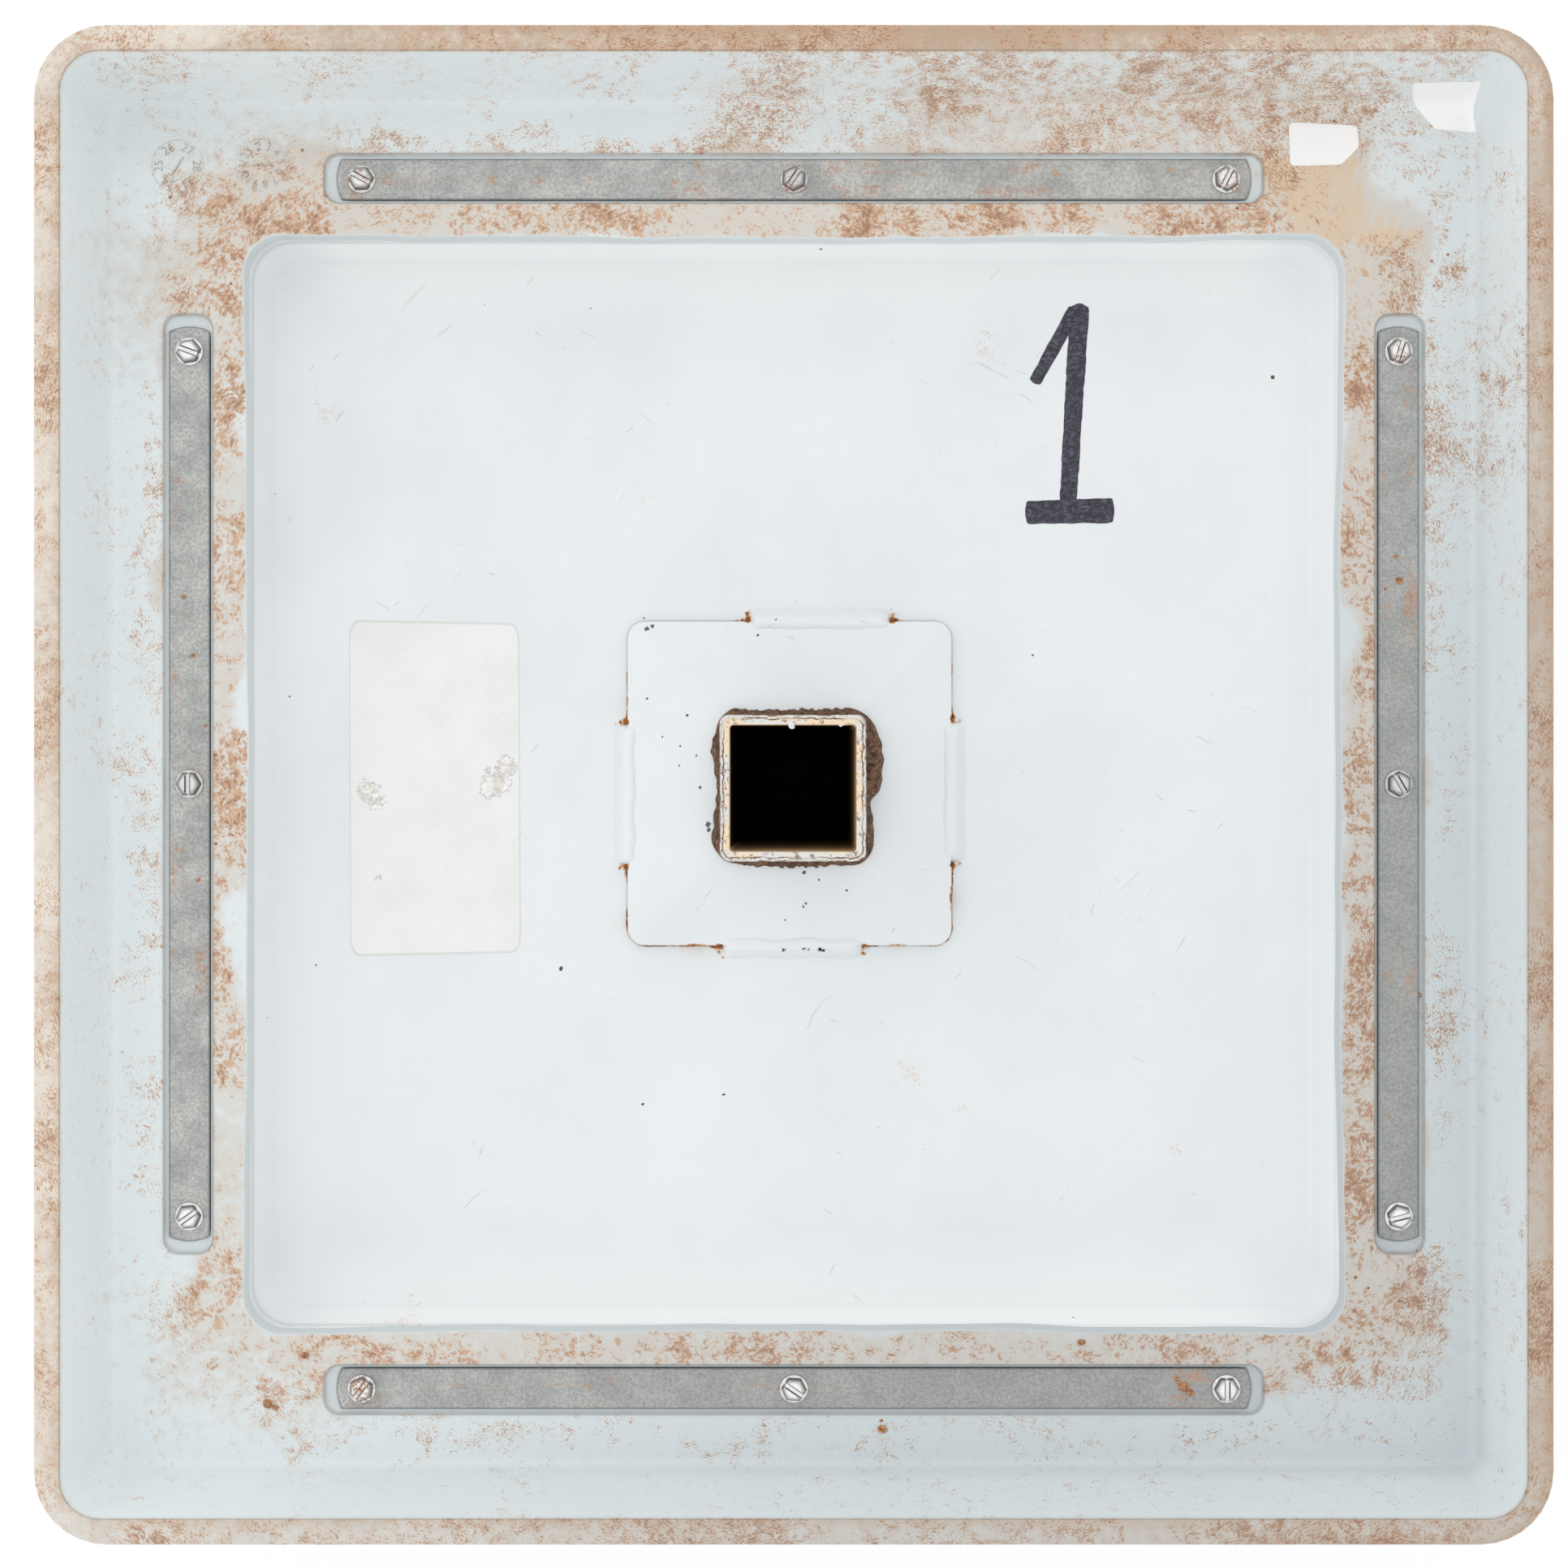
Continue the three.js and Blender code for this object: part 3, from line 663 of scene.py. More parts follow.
# Rubber cover: one loft of rounded squares from the nest under the pan, over the lip, the flange with its
# bar slots, the leaning recess wall and the rim, down the sides and in under the playing face.
coverSet = {
    "lipHalf": 171.5,
    "lipRadius": 12.7,
    "lipRound": 0.8,
    "lipBow": 1.3,  # how far the lip's sides sag inward at their middles
    "lipWobble": 0.45,
    "flangeZ": 44.5,
    "flangeUndersideZ": 35.0,
    "pocketHalf": 206.7,
    "pocketFloorZ": 31.7,
    "pocketRadius": 14.0,
    "nestHalf": 166.0,
    "nestRadius": 12.0,
    "nestRound": 3.0,
    "nestLean": 6.0,  # how far its wall leans out on the way up to the pocket's floor
    "nestZ": 12.7,
    "footHalf": 212.0,
    "footRadius": 5.0,
    "footRound": 4.0,
    "rimWidth": 7.8,
    "rimInnerRadius": 12.0,
    "rimInnerRound": 0.5,
    "rimRound": 1.6,
    "cornerRadius": 22.2,
    "sideLean": 2.4,
    "faceRound": 10.0,
    "faceRings": ((200, 10), (140, 6), (70, 3)),  # half width and corner radius of rings in the face
    "slotInnerGap": 1.0,  # towards the pan
    "slotOuterGap": 1.0,
    "slotEndGap": 3.2,
    "slotRadius": 4.5,
    "slotDepth": 5.5,
    "slotShelf": 2.7,  # depth of the ledge that the rubber makes against the bar
    "slotCrack": 0.2,  # the dark gap along the bar's inner edge
    "slotEdge": (-0.45, 0.75),  # the slot's wall falls between these distances from its outline
    "slotStep": (-0.4, 0.15),  # the ledge drops away under the bar between these distances past its edge
    "slotStepEnd": 0.45,  # and so much further in at the bar's ends
    "sidePoints": (-138, 138, 56),  # along a side between the slots' ends: first, last and how many
    "leastClay": 0.145,  # flecks that lie all over
}
# stretches of the flange flecked all over: left, right, low and high edge, how softly they end, amount
clayBands = (
    (-168, 172, 173, 186, 4, 0.52), (173, 186, -175, 172, 4, 0.52), (-186, -173, -70, 172, 4, 0.52),
    (-186, -173, -172, -70, 4, 0.4), (-172, 172, -186, -173, 4, 0.46), (45, 160, 196, 232, 36, 0.52),
    (-150, 20, 196, 201, 6, 0.5), (-215, 20, 216, 221, 5, 0.32), (150, 205, 196, 232, 14, 0.46),
    (196, 203, 60, 180, 8, 0.46), (203, 222, 60, 190, 12, 0.3), (197, 204, -150, 60, 7, 0.34),
    (-203, -195, -40, 110, 7, 0.34), (-203, -196, -140, -40, 6, 0.3), (-150, 150, -206, -199, 5, 0.3),
    (-20, 40, 200, 230, 20, 0.42), (180, 198, -188, -145, 12, 0.5), (-196, -160, -192, -150, 14, 0.33),
)
# thicker clay: x, y, radius and amount of each patch
clayPatches = (
    (-156, 176, 15, 0.92), (-167, 175, 14, 0.82), (-177, 160, 13, 0.8), (-190, 155, 10, 0.9),
    (-189, 184, 11, 0.62), (-177, 181, 12, 0.72), (-177, 149, 10, 0.72), (-186, 140, 13, 0.56),
    (-196, 168, 13, 0.5), (-204, 150, 14, 0.3), (-157, 191, 9, 0.66), (-168, 194, 18, 0.46),
    (-142, 193, 12, 0.5), (-177, 121, 9, 0.74), (-176, 8, 12, 0.74), (-176, -10, 10, 0.68),
    (-101, 177, 10, 0.62), (-66, 178, 12, 0.78), (-56, 176, 9, 0.84), (-59, 198, 7, 0.72),
    (-35, 198, 6, 0.66), (22, 176, 9, 0.84), (38, 176, 10, 0.66), (86, 178, 10, 0.66),
    (117, 175, 12, 0.92), (130, 174, 9, 0.84), (144, 178, 12, 0.78), (44, 214, 7, 0.86),
    (63, 222, 9, 0.78), (106, 217, 8, 0.96), (117, 225, 8, 0.94), (127, 206, 9, 0.74), (146, 220, 9, 0.8),
    (150, 208, 8, 0.82), (149, 200, 8, 0.76), (172, 206, 8, 0.76), (189, 160, 11, 0.78),
    (191, 152, 9, 0.84), (206, 159, 8, 0.68), (218, 122, 8, 0.62), (175, 122, 11, 0.86),
    (178, 133, 8, 0.66), (177, 97, 9, 0.6), (177, 61, 9, 0.62), (177, -9, 10, 0.64),
    (178, -131, 10, 0.74), (177, -166, 13, 0.64), (164, -178, 12, 0.54), (126, -178, 11, 0.62),
    (-152, -180, 10, 0.5), (-136, -183, 11, 0.52), (-163, -191, 9, 0.72), (28, -202, 7, 0.5),
    (-150, -186, 8, 0.66), (172, -180, 12, 0.55), (190, -160, 9, 0.62),
)
# pale wash of clay, in stretches and patches again; over 0.75 it turns tan
washBands = (
    (-172, 172, 173, 193, 6, 0.66), (173, 190, -172, 172, 6, 0.66), (-190, -173, -70, 172, 6, 0.5),
    (-186, -173, -172, -70, 9, 0.46), (-168, 172, -186, -173, 9, 0.54), (40, 165, 196, 232, 30, 0.4),
    (150, 178, 170, 194, 9, 1.15),
)
washPatches = (
    (-165, 170, 32, 0.72), (-190, 160, 20, 0.58), (160, 184, 14, 1.3), (174, 180, 12, 1.25),
    (180, 172, 10, 1.2), (150, 190, 8, 1.1), (166, 194, 8, 1.0), (178, 160, 12, 0.9),
    (172, -172, 16, 0.62), (188, -166, 20, 0.36), (-203, 150, 22, 0.4), (-176, -174, 26, 0.45),
    (-158, -188, 16, 0.45),
)


def bandDensity(x, y, bands):
    # rectangles whose edges fade as an S curve; the thickest one counts
    columns = np.array(bands, float).T
    left, right, low, high, soft, amount = (column.reshape((-1,) + (1,) * np.ndim(x)) for column in columns)
    inX = easeBetween(left - soft, left, x) * (1 - easeBetween(right, right + soft, x))
    inY = easeBetween(low - soft, low, y) * (1 - easeBetween(high, high + soft, y))
    return (amount * inX * inY).max(axis=0)


def patchDensity(x, y, patches):
    # overlapping round patches, each fading as a bell curve; the thickest one counts
    spots = np.array(patches, float)
    shape = (-1,) + (1,) * np.ndim(x)
    px, py, reach, amount = (spots[:, k].reshape(shape) for k in range(4))
    return (amount * np.exp(-((x - px) ** 2 + (y - py) ** 2) / reach**2)).max(axis=0)


def roundedAway(outX, outY, radius):
    # distance from a rounded rectangle's outline, from the distances past the straight cores of its sides
    past = np.hypot(np.maximum(outX, 0), np.maximum(outY, 0))
    return past + np.minimum(np.maximum(outX, outY), 0) - radius


def slotBounds(shape):
    # the slot's edges across a side, towards the pan and towards the wall, and its half length
    inner = barLow[0] - shape["slotInnerGap"]
    outer = barHigh[0] + shape["slotOuterGap"]
    return inner, outer, (barHigh[1] - barLow[1]) / 2 + shape["slotEndGap"]


def slotAway(across, along, shape):
    # distance of a point from the slot's rounded outline, negative inside
    inner, outer, halfLength = slotBounds(shape)
    outX = np.abs(across - (inner + outer) / 2) - (outer - inner) / 2 + shape["slotRadius"]
    outY = np.abs(along) - halfLength + shape["slotRadius"]
    return roundedAway(outX, outY, shape["slotRadius"])


def slotFall(across, along, shape):
    # share of the slot's depth at a point
    inner, outer = shape["slotEdge"]
    return 1 - easeBetween(inner, outer, slotAway(across, along, shape))


def slotDrop(across, along, shape):
    # how far the slot goes down at a point: to the ledge beside the bar, and to the full depth under it
    halfWidth = barHigh[0] - barLine
    pastEnd = np.abs(along) - barHigh[1] + barBow * ((across - barLine) / halfWidth) ** 2
    gap = np.where((across < barLine) & (pastEnd < -1), shape["slotCrack"], 0)
    pastEdge = np.abs(across - barLine) - halfWidth - gap
    stepIn, stepOut = shape["slotStep"]
    ledge = easeBetween(stepIn, stepOut, np.maximum(pastEdge, pastEnd + shape["slotStepEnd"]))
    depth = shape["slotDepth"] + (shape["slotShelf"] - shape["slotDepth"]) * ledge
    return slotFall(across, along, shape) * depth


def slotStations(edge, shape):
    # rings close together across an edge of the slots
    inner, outer = shape["slotEdge"]
    return np.linspace(edge + inner - 0.1, edge + outer + 0.1, 11)


def coverProfile(shape):
    # The cover's section as corners of (half width, corner radius, height, bend), from under the pan to the
    # face. The flange has rings close together where the slots and the bars have their edges.
    lip, foot, top = shape["lipHalf"], shape["footHalf"], shape["flangeZ"]
    innerEdge, outerEdge = slotBounds(shape)[:2]
    stations = np.concatenate([
        np.linspace(lip + 1.2, innerEdge - 1.5, 5),
        2 * innerEdge - slotStations(innerEdge, shape)[::-1],
        np.linspace(barLow[0] - 0.4, barLow[0] + 0.3, 7),
        np.linspace(barLow[0] + 1, barHigh[0] - 1, 13),
        np.linspace(barHigh[0] - 0.5, barHigh[0] + 0.3, 6),
        slotStations(outerEdge, shape),
        np.linspace(outerEdge + 2, foot - 4.5, 6),
    ])
    grow = (shape["footRadius"] - shape["lipRadius"]) / (foot - lip)
    flange = [(half, shape["lipRadius"] + grow * (half - lip), top, 0) for half in stations]
    rimInner = baseHalf - shape["rimWidth"]
    footRadius, innerRadius = shape["footRadius"], shape["rimInnerRadius"]
    widen = innerRadius - footRadius
    wall = [
        (foot + (rimInner - foot) * s, footRadius + widen * s, top + (rimZ - top) * s, 0)
        for s in (0.2, 0.4, 0.6, 0.8, 0.92, 0.965, 0.985)
    ]
    lean, cornerRadius = shape["sideLean"], shape["cornerRadius"]
    side = [
        (baseHalf - lean * s, cornerRadius - lean * s, rimZ * (1 - s), 0)
        for s in np.linspace(0, 1, 8)[1:-1]
    ]
    return [
        (*poleRing, shape["nestZ"], 0),
        (shape["nestHalf"], shape["nestRadius"], shape["nestZ"], shape["nestRound"]),
        (shape["nestHalf"] + shape["nestLean"], shape["pocketRadius"], shape["pocketFloorZ"], 1),
        (shape["pocketHalf"], shape["pocketRadius"], shape["pocketFloorZ"], 0.5),
        (shape["pocketHalf"], shape["pocketRadius"], shape["flangeUndersideZ"], 0.5),
        (lip, shape["lipRadius"], shape["flangeUndersideZ"], 1.2),
        (lip, shape["lipRadius"], top, shape["lipRound"]),
        *flange,
        (foot, footRadius, top, shape["footRound"]),
        *wall,
        (rimInner, innerRadius, rimZ, shape["rimInnerRound"]),
        (rimInner + shape["rimWidth"] / 2, (innerRadius + cornerRadius) / 2, rimZ, 0),
        (baseHalf, cornerRadius, rimZ, shape["rimRound"]),
        *side,
        (baseHalf - lean, cornerRadius - lean, 0, shape["faceRound"]),
        *[(faceHalf, faceRadius, 0, 0) for faceHalf, faceRadius in shape["faceRings"]],
        (*poleRing, 0, 0),
    ]


def coverStains(shape, points, half, inSlot, away):
    # how thick flecks, wash, rim tan, spots, grime and painted shade lie, from where a point is on the cover
    x, y, z = points[..., 0], points[..., 1], points[..., 2]
    lip, top = shape["lipHalf"], shape["flangeZ"]
    pastLip = easeBetween(lip + 0.1, lip + 0.7, half)[:, None]
    upWall = easeBetween(top + 1, top + 12, z)
    strayX = x + 8 * ripple(21, 38, x, y)
    strayY = y + 5 * ripple(22, 38, x, y)
    flecked = bandDensity(strayX, strayY, clayBands) * (0.95 + 0.28 * ripple(8, 34, x, y))
    clay = np.maximum(np.maximum(patchDensity(x, y, clayPatches), flecked), shape["leastClay"])
    clay = clay * pastLip * (1 - 0.8 * inSlot)
    wash = np.maximum(patchDensity(strayX, strayY, washPatches), bandDensity(strayX, strayY, washBands))
    wash = wash * pastLip * (1 - 0.9 * inSlot) * (1 - 0.5 * upWall)
    # down the sides and over the face
    outside = (half > baseHalf - 3)[:, None] & (z < rimZ - 0.5)
    scuffed = easeBetween(10, rimZ, z)
    clay = np.where(outside, 0.1 + 0.42 * scuffed, clay)
    wash = np.where(outside, 0.1 + 0.5 * scuffed, wash)
    clay = np.where(z < 1.0, 0.05, clay)
    # on the rim, browner to the upper right
    onRim = easeBetween(rimZ - 1.6, rimZ - 0.3, z)
    lower = 1 - easeBetween(-226, -205, y)
    brown = easeBetween(-60, 120, 0.85 * x + 0.5 * y)
    right = easeBetween(60, 216, x)
    inRim = np.clip((half - baseHalf + shape["rimWidth"]) / shape["rimWidth"], 0, 1)[:, None]
    outerStain = 0.55 * brown * easeBetween(0.55, 0.9, inRim)
    innerStain = 0.3 * (1 - brown) * easeBetween(0.5, 0.1, inRim)
    clay = np.where(onRim > 0.5, 0.44 + 0.12 * brown + 0.22 * ripple(9, 40, x, y) - 0.1 * right, clay)
    wash = np.where(onRim > 0.5, 0.2 + 0.7 * brown * (1 - 0.75 * right) + outerStain + innerStain, wash)
    rim = onRim * (0.95 - 0.35 * lower)
    inner = 1 - easeBetween(184, 191, half)[:, None]
    spots = np.where((x < 60) & (y > -60), 0.95, 0.8) * inner * (onRim < 0.5)
    # painted shade in the line inside the rim, along the slots' outlines, in the slots and on the lip, more
    # on its left; grime on the rim; and darker along the top
    line = np.exp(-((half - baseHalf + shape["rimWidth"] + 0.05) / 0.2) ** 2)[:, None] * (z > rimZ - 3)
    outline = np.exp(-((away - 0.3) / 0.4) ** 2)
    onLip = (1 - pastLip) * (z > shape["flangeUndersideZ"] + 1) * (half < lip + 4)[:, None]
    paintedLipShade = 0.09 + 0.06 * easeBetween(100, -100, x)
    grimeAndShade = np.maximum(np.maximum(0.32 * line, 0.32 * outline), np.maximum(0.05 * inSlot, paintedLipShade * onLip))
    grimeAndShade = np.maximum(grimeAndShade, onRim * np.maximum(0.03 + 0.08 * lower, 0.07 * brown))
    alongTop = easeBetween(191, 197, y) * (1 - easeBetween(20, 90, x))
    darkerAlongTop = 0.06 * alongTop * (z < top + 1) * (half < 214)[:, None]
    grimeAndShade = np.maximum(grimeAndShade, darkerAlongTop)
    return {"clay": clay, "wash": wash, "rim": rim, "spots": spots, "grimeAndShade": grimeAndShade}


def makeCover(shape):
    half, radius, height = bentProfile(coverProfile(shape), 6)
    innerEdge, outerEdge, halfLength = slotBounds(shape)
    fineEnd = np.linspace(halfLength - shape["slotRadius"] - 0.6, halfLength + 1.2, 26)
    along = np.concatenate([-fineEnd[::-1], np.linspace(*shape["sidePoints"]), fineEnd])
    points, normals, (across, run) = squareRings(half, radius, height, along)
    x, y = points[..., 0], points[..., 1]
    onFlange = (np.abs(height - shape["flangeZ"]) < 0.01) & (half > innerEdge - 4) & (half < outerEdge + 4)
    inSlot = np.tile(slotFall(across, run, shape) * onFlange[:, None], 4)
    away = np.tile(np.where(onFlange[:, None], slotAway(across, run, shape), 50), 4)
    points[..., 2] -= np.tile(slotDrop(across, run, shape) * onFlange[:, None], 4)
    lip = shape["lipHalf"]
    nearLip = easeBetween(lip + 7, lip + 1, half) * (height > shape["flangeUndersideZ"] - 0.5)
    sway = shape["lipWobble"] * ripple(3, 55, x, y) - shape["lipBow"] * (1 - (np.tile(run, 4) / lip) ** 2)
    values = coverStains(shape, points, half, inSlot, away)
    points[..., :2] += (nearLip[:, None] * sway)[..., None] * normals
    makePiece("rubberCover", gridShape(points), rubber, ["rubber_cover"], values, 50)
    return half, radius, height


coverHalves, coverRadii, coverHeights = makeCover(coverSet)
print("cover made")


# The plate's sizes and the places of its welds, which the pan's rusty seams need as well.
plateSet = {
    "edgeHalf": 52.0,
    "edgeRadius": 5.5,
    "holeHalf": 19.35,
    "gauge": 3.2,
    "shiftX": -1.45,  # the plate was welded a little left of the tube
    "sidePoints": (-43, 43, 131),
    "upperRings": (0.3, 0.6, 0.8, 0.92, 0.97),  # as shares of the way from the hole to the edge
}


def beadPlace(side):
    # a weld's middle and half length along its side, and its inner and outer toe across it
    low, high = nodeBox("edge_weld_" + side)
    ends = turnPoints(np.array([low, high]), (4 - sides.index(side)) % 4)
    return ends[:, 1].mean(), np.ptp(ends[:, 1]) / 2, ends[:, 0].min(), ends[:, 0].max()


def plateAway(x, y):
    # distance of a point from the plate's outline, negative inside
    core = plateSet["edgeHalf"] - plateSet["edgeRadius"]
    return roundedAway(np.abs(x - plateSet["shiftX"]) - core, np.abs(y) - core, plateSet["edgeRadius"])


# Steel pan: a loft from the flat seat in its middle, out along the dished floor, up the wall and out to the
# flange that the rubber covers, then back along its underside a gauge lower.
panSet = {
    "gauge": 2.7,
    "seatHalf": 57.8,
    "seatRadius": 6.0,
    "seatZ": 15.7,
    "footHalf": 166.8,
    "footRadius": 12.7,
    "footZ": 18.2,
    "footBend": 6.0,
    "wallHalf": 171.0,
    "wallRadius": 12.2,
    "wallBend": 3.0,
    "flangeRadius": 14.0,
    "boreHalf": 17.5,
    # the bore's floor is bare steel, painted near black as shade at the foot of the tube
    "bareFade": 1.5,  # how far the bare steel in the bore fades into paint
    "edgeRound": 0.3,
    "seamRings": (49.6, 56.0, 17),  # close together at the plate's edge: first, last and how many
    "finePoints": (-58, 58, 146),  # along a side beside the plate
    "coarsePoints": (62, 140, 14),  # and beyond it
    "dent": 0.16,
    # rust at each end of an edge weld: how far out and past the end, radius and amount
    "tipRust": (
        (0.6, 0.6, 1.5, 1.0), (0.3, 2.4, 1.2, 0.9), (0.2, 4.4, 1.0, 0.72), (2.6, 0.8, 1.3, 0.8),
        (4.0, 0.2, 1.0, 0.6),
    ),
    # smears of clay: x, y, radius and amount
    "smears": (
        (37, -92, 6, 0.42), (87, -134, 6, 0.42), (55, -104, 4, 0.4), (123, -119, 4, 0.42),
        (-49, 94, 4, 0.45), (-124, 73, 4, 0.35), (-122, -170, 6, 0.4), (60, 140, 7, 0.3),
        (-150, 120, 6, 0.25), (150, 60, 6, 0.3),
    ),
}


def panFloor(x, y):
    # height of the pan's floor: flat on the seat, rising square by square with the distance from it, and a
    # little dented
    reach = np.maximum(np.abs(x), np.abs(y))
    rise = (panSet["footZ"] - panSet["seatZ"]) / (panSet["footHalf"] - panSet["seatHalf"])
    dented = easeBetween(66, 90, reach) * (1 - easeBetween(150, 164, reach))
    plain = panSet["seatZ"] + rise * np.maximum(reach - panSet["seatHalf"], 0)
    return plain + panSet["dent"] * ripple(11, 70, x, y) * dented


def makePan(shape):
    gauge = shape["gauge"]
    floor = [
        (shape["seatHalf"] + (shape["footHalf"] - shape["seatHalf"]) * s,
         shape["seatRadius"] + (shape["footRadius"] - shape["seatRadius"]) * s,
         shape["seatZ"] + (shape["footZ"] - shape["seatZ"]) * s, 0)
        for s in np.linspace(0, 1, 24)[1:-1]
    ]
    corners = [
        (*poleRing, shape["seatZ"], 0),
        (shape["boreHalf"], 2, shape["seatZ"], 0),
        (shape["boreHalf"] + shape["bareFade"], 2.4, shape["seatZ"], 0),
        (38, 4, shape["seatZ"], 0),
        *[(half, plateSet["edgeRadius"], shape["seatZ"], 0) for half in np.linspace(*shape["seamRings"])],
        (shape["seatHalf"], shape["seatRadius"], shape["seatZ"], 2),
        *floor,
        (shape["footHalf"], shape["footRadius"], shape["footZ"], shape["footBend"]),
        (shape["wallHalf"], shape["wallRadius"], panHigh[2], shape["wallBend"]),
        (panHigh[0], shape["flangeRadius"], panHigh[2], shape["edgeRound"]),
        (panHigh[0], shape["flangeRadius"], panHigh[2] - gauge, shape["edgeRound"]),
        (shape["wallHalf"] + gauge, shape["wallRadius"] + gauge, panHigh[2] - gauge, 0.6),
        (shape["footHalf"] + gauge, shape["footRadius"] + gauge, shape["footZ"] - gauge, shape["footBend"]),
        (shape["seatHalf"], shape["seatRadius"], panLow[2], 4),
        (*poleRing, panLow[2], 0),
    ]
    half, radius, height = bentProfile(corners, 7)
    coarse = np.linspace(*shape["coarsePoints"])
    along = np.concatenate([-coarse[::-1], np.linspace(*shape["finePoints"]), coarse])
    points = squareRings(half, radius, height, along)[0]
    x, y = points[..., 0], points[..., 1]
    top = (height > shape["seatZ"] - 0.1)[:, None]
    onFloor = top & (half < shape["footHalf"] - 8)[:, None]
    points[..., 2] = np.where(onFloor, panFloor(x, y), points[..., 2])
    # bare steel on the floor inside the tube, painted near black as shade at the foot of the bore
    bare = (1 - easeBetween(shape["boreHalf"], shape["boreHalf"] + shape["bareFade"], half))[:, None] * top
    clay = patchDensity(x, y, shape["smears"]) * top
    away = plateAway(x, y)
    seam = np.exp(-((away - 0.2) / 0.6) ** 2) * top
    rust = seam * (0.7 + 0.34 * ripple(12, 16, x, y) - 0.3 * easeBetween(-10, 40, y))
    tips = []
    out, past, size, amount = np.array(shape["tipRust"]).T
    for quarter, side in enumerate(sides):
        middle, weldHalf = beadPlace(side)[:2]
        for way in (-1, 1):
            spots = np.stack([plateSet["edgeHalf"] + out, middle + way * (weldHalf + past)], axis=-1)
            turned = turnPoints(spots, quarter, plateSet["shiftX"])
            tips.append(np.column_stack([turned, size, amount]))
    rust = np.maximum(rust, patchDensity(x, y, np.concatenate(tips)) * top)
    reach = np.maximum(np.abs(x), np.abs(y))
    # painted light on the pan's walls and the floor beside them, held back on the left and right walls
    upWall = easeBetween(shape["footZ"] + 0.6, shape["footZ"] + 6, points[..., 2])
    lessPaintedLight = np.maximum(0.8 * easeBetween(-140, -169, x), 0.6 * easeBetween(140, 166, x))
    bright = np.maximum(upWall, 0.6 * easeBetween(142, 166, reach)) * (1 - lessPaintedLight)
    # painted shade: a line under the lip, darker on the left, and a line along the plate's outline, carried
    # by the bare attribute
    underLip = np.exp(-((half - shape["wallHalf"] + 0.1) / 0.4) ** 2)[:, None] * top
    lipShade = underLip * (0.1 + 0.14 * easeBetween(100, -160, x))
    shade = np.maximum(0.45 * np.exp(-((away - 0.1) / 0.35) ** 2) * top, lipShade)
    bare = np.maximum(bare, shade) * np.ones(x.shape)
    values = {"clay": clay, "bare": bare, "rust": rust, "bright": bright}
    makePiece("steelPan", gridShape(points), enamel, ["steel_pan"], values, 50)


makePan(panSet)
print("pan made")


# Gusset plate: a low pyramid with a square hole and straight edges, rusty at the ends of its welds.
def plateTop(reach):
    # height of the plate's upper face at a distance from the middle
    rise = plateHigh[2] - plateLow[2] - plateSet["gauge"]
    share = (plateSet["edgeHalf"] - reach) / (plateSet["edgeHalf"] - plateSet["holeHalf"])
    return plateLow[2] + plateSet["gauge"] + rise * share


def makePlate(shape):
    edge, hole, gauge = shape["edgeHalf"], shape["holeHalf"], shape["gauge"]
    upper = []
    for share in shape["upperRings"]:
        reach = hole + (edge - hole) * share
        upper.append((reach, 1 + (shape["edgeRadius"] - 1) * share, plateTop(reach), 0))
    corners = [
        (hole, 1, plateHigh[2] - gauge, 0.3),
        (hole, 1, plateHigh[2], 0.3),
        *upper,
        (edge, shape["edgeRadius"], plateTop(edge), 0.5),
        (edge, shape["edgeRadius"], plateLow[2], 0.2),
        (edge - 4, shape["edgeRadius"] - 0.5, plateTop(edge - 4) - gauge, 0),
    ]
    half, radius, height = loopProfile(corners, 4)
    points, _, (_, run) = squareRings(half, radius, height, np.linspace(*shape["sidePoints"]), leads=3)
    x, y = points[..., 0], points[..., 1]
    # the four faces meet in straight hips, which fade out at the rounded corners
    reach = np.maximum(np.abs(x), np.abs(y))
    onTop = (np.abs(height - plateTop(half)) < 0.05) * (1 - easeBetween(46, 51, half))
    points[..., 2] += onTop[:, None] * (plateTop(reach) - plateTop(half)[:, None])
    nearEdge = easeBetween(edge - 1.4, edge, half)[:, None]
    marks = []
    for side in sides:
        middle, weldHalf = beadPlace(side)[:2]
        beyond = np.abs(run - middle) - weldHalf
        marks.append(0.85 * np.exp(-((beyond - 0.8) / 1.8) ** 2))
    seam = 0.4 + 0.3 * ripple(13, 14, x, y) - 0.3 * easeBetween(-30, 40, y)
    rust = nearEdge * np.maximum(np.concatenate(marks, axis=1), seam)
    values = {"clay": 0 * rust, "rust": rust, "bare": 0 * rust, "bright": 0 * rust}
    points[..., 0] += shape["shiftX"]
    plate = gridShape(points, closeRows=True)
    makePiece("gussetPlate", plate, enamel, ["gusset_plate"], values, 50)


makePlate(plateSet)


# Edge beads: painted welds with round ends, half on the plate and half on the pan.
beadSet = {
    "crown": 2.0,
    "endRadius": 3.4,
    "wander": 0.25,
    "ridge": 0.07,
    "sunk": 0.25,
    "steps": (121, 23),  # rings along a bead, and points across it
    # open pores in the beads: x, y, radius and how dark
    "pores": (
        (-3.4, -53.4, 0.7, 1), (3.2, -53.0, 0.5, 1), (4.8, -53.2, 0.4, 0.8), (8.2, -53.2, 0.8, 1),
        (9.4, -53.6, 0.6, 1), (-10.5, -53.6, 0.5, 0.5), (-5.9, 52.6, 0.4, 1),
    ),
}


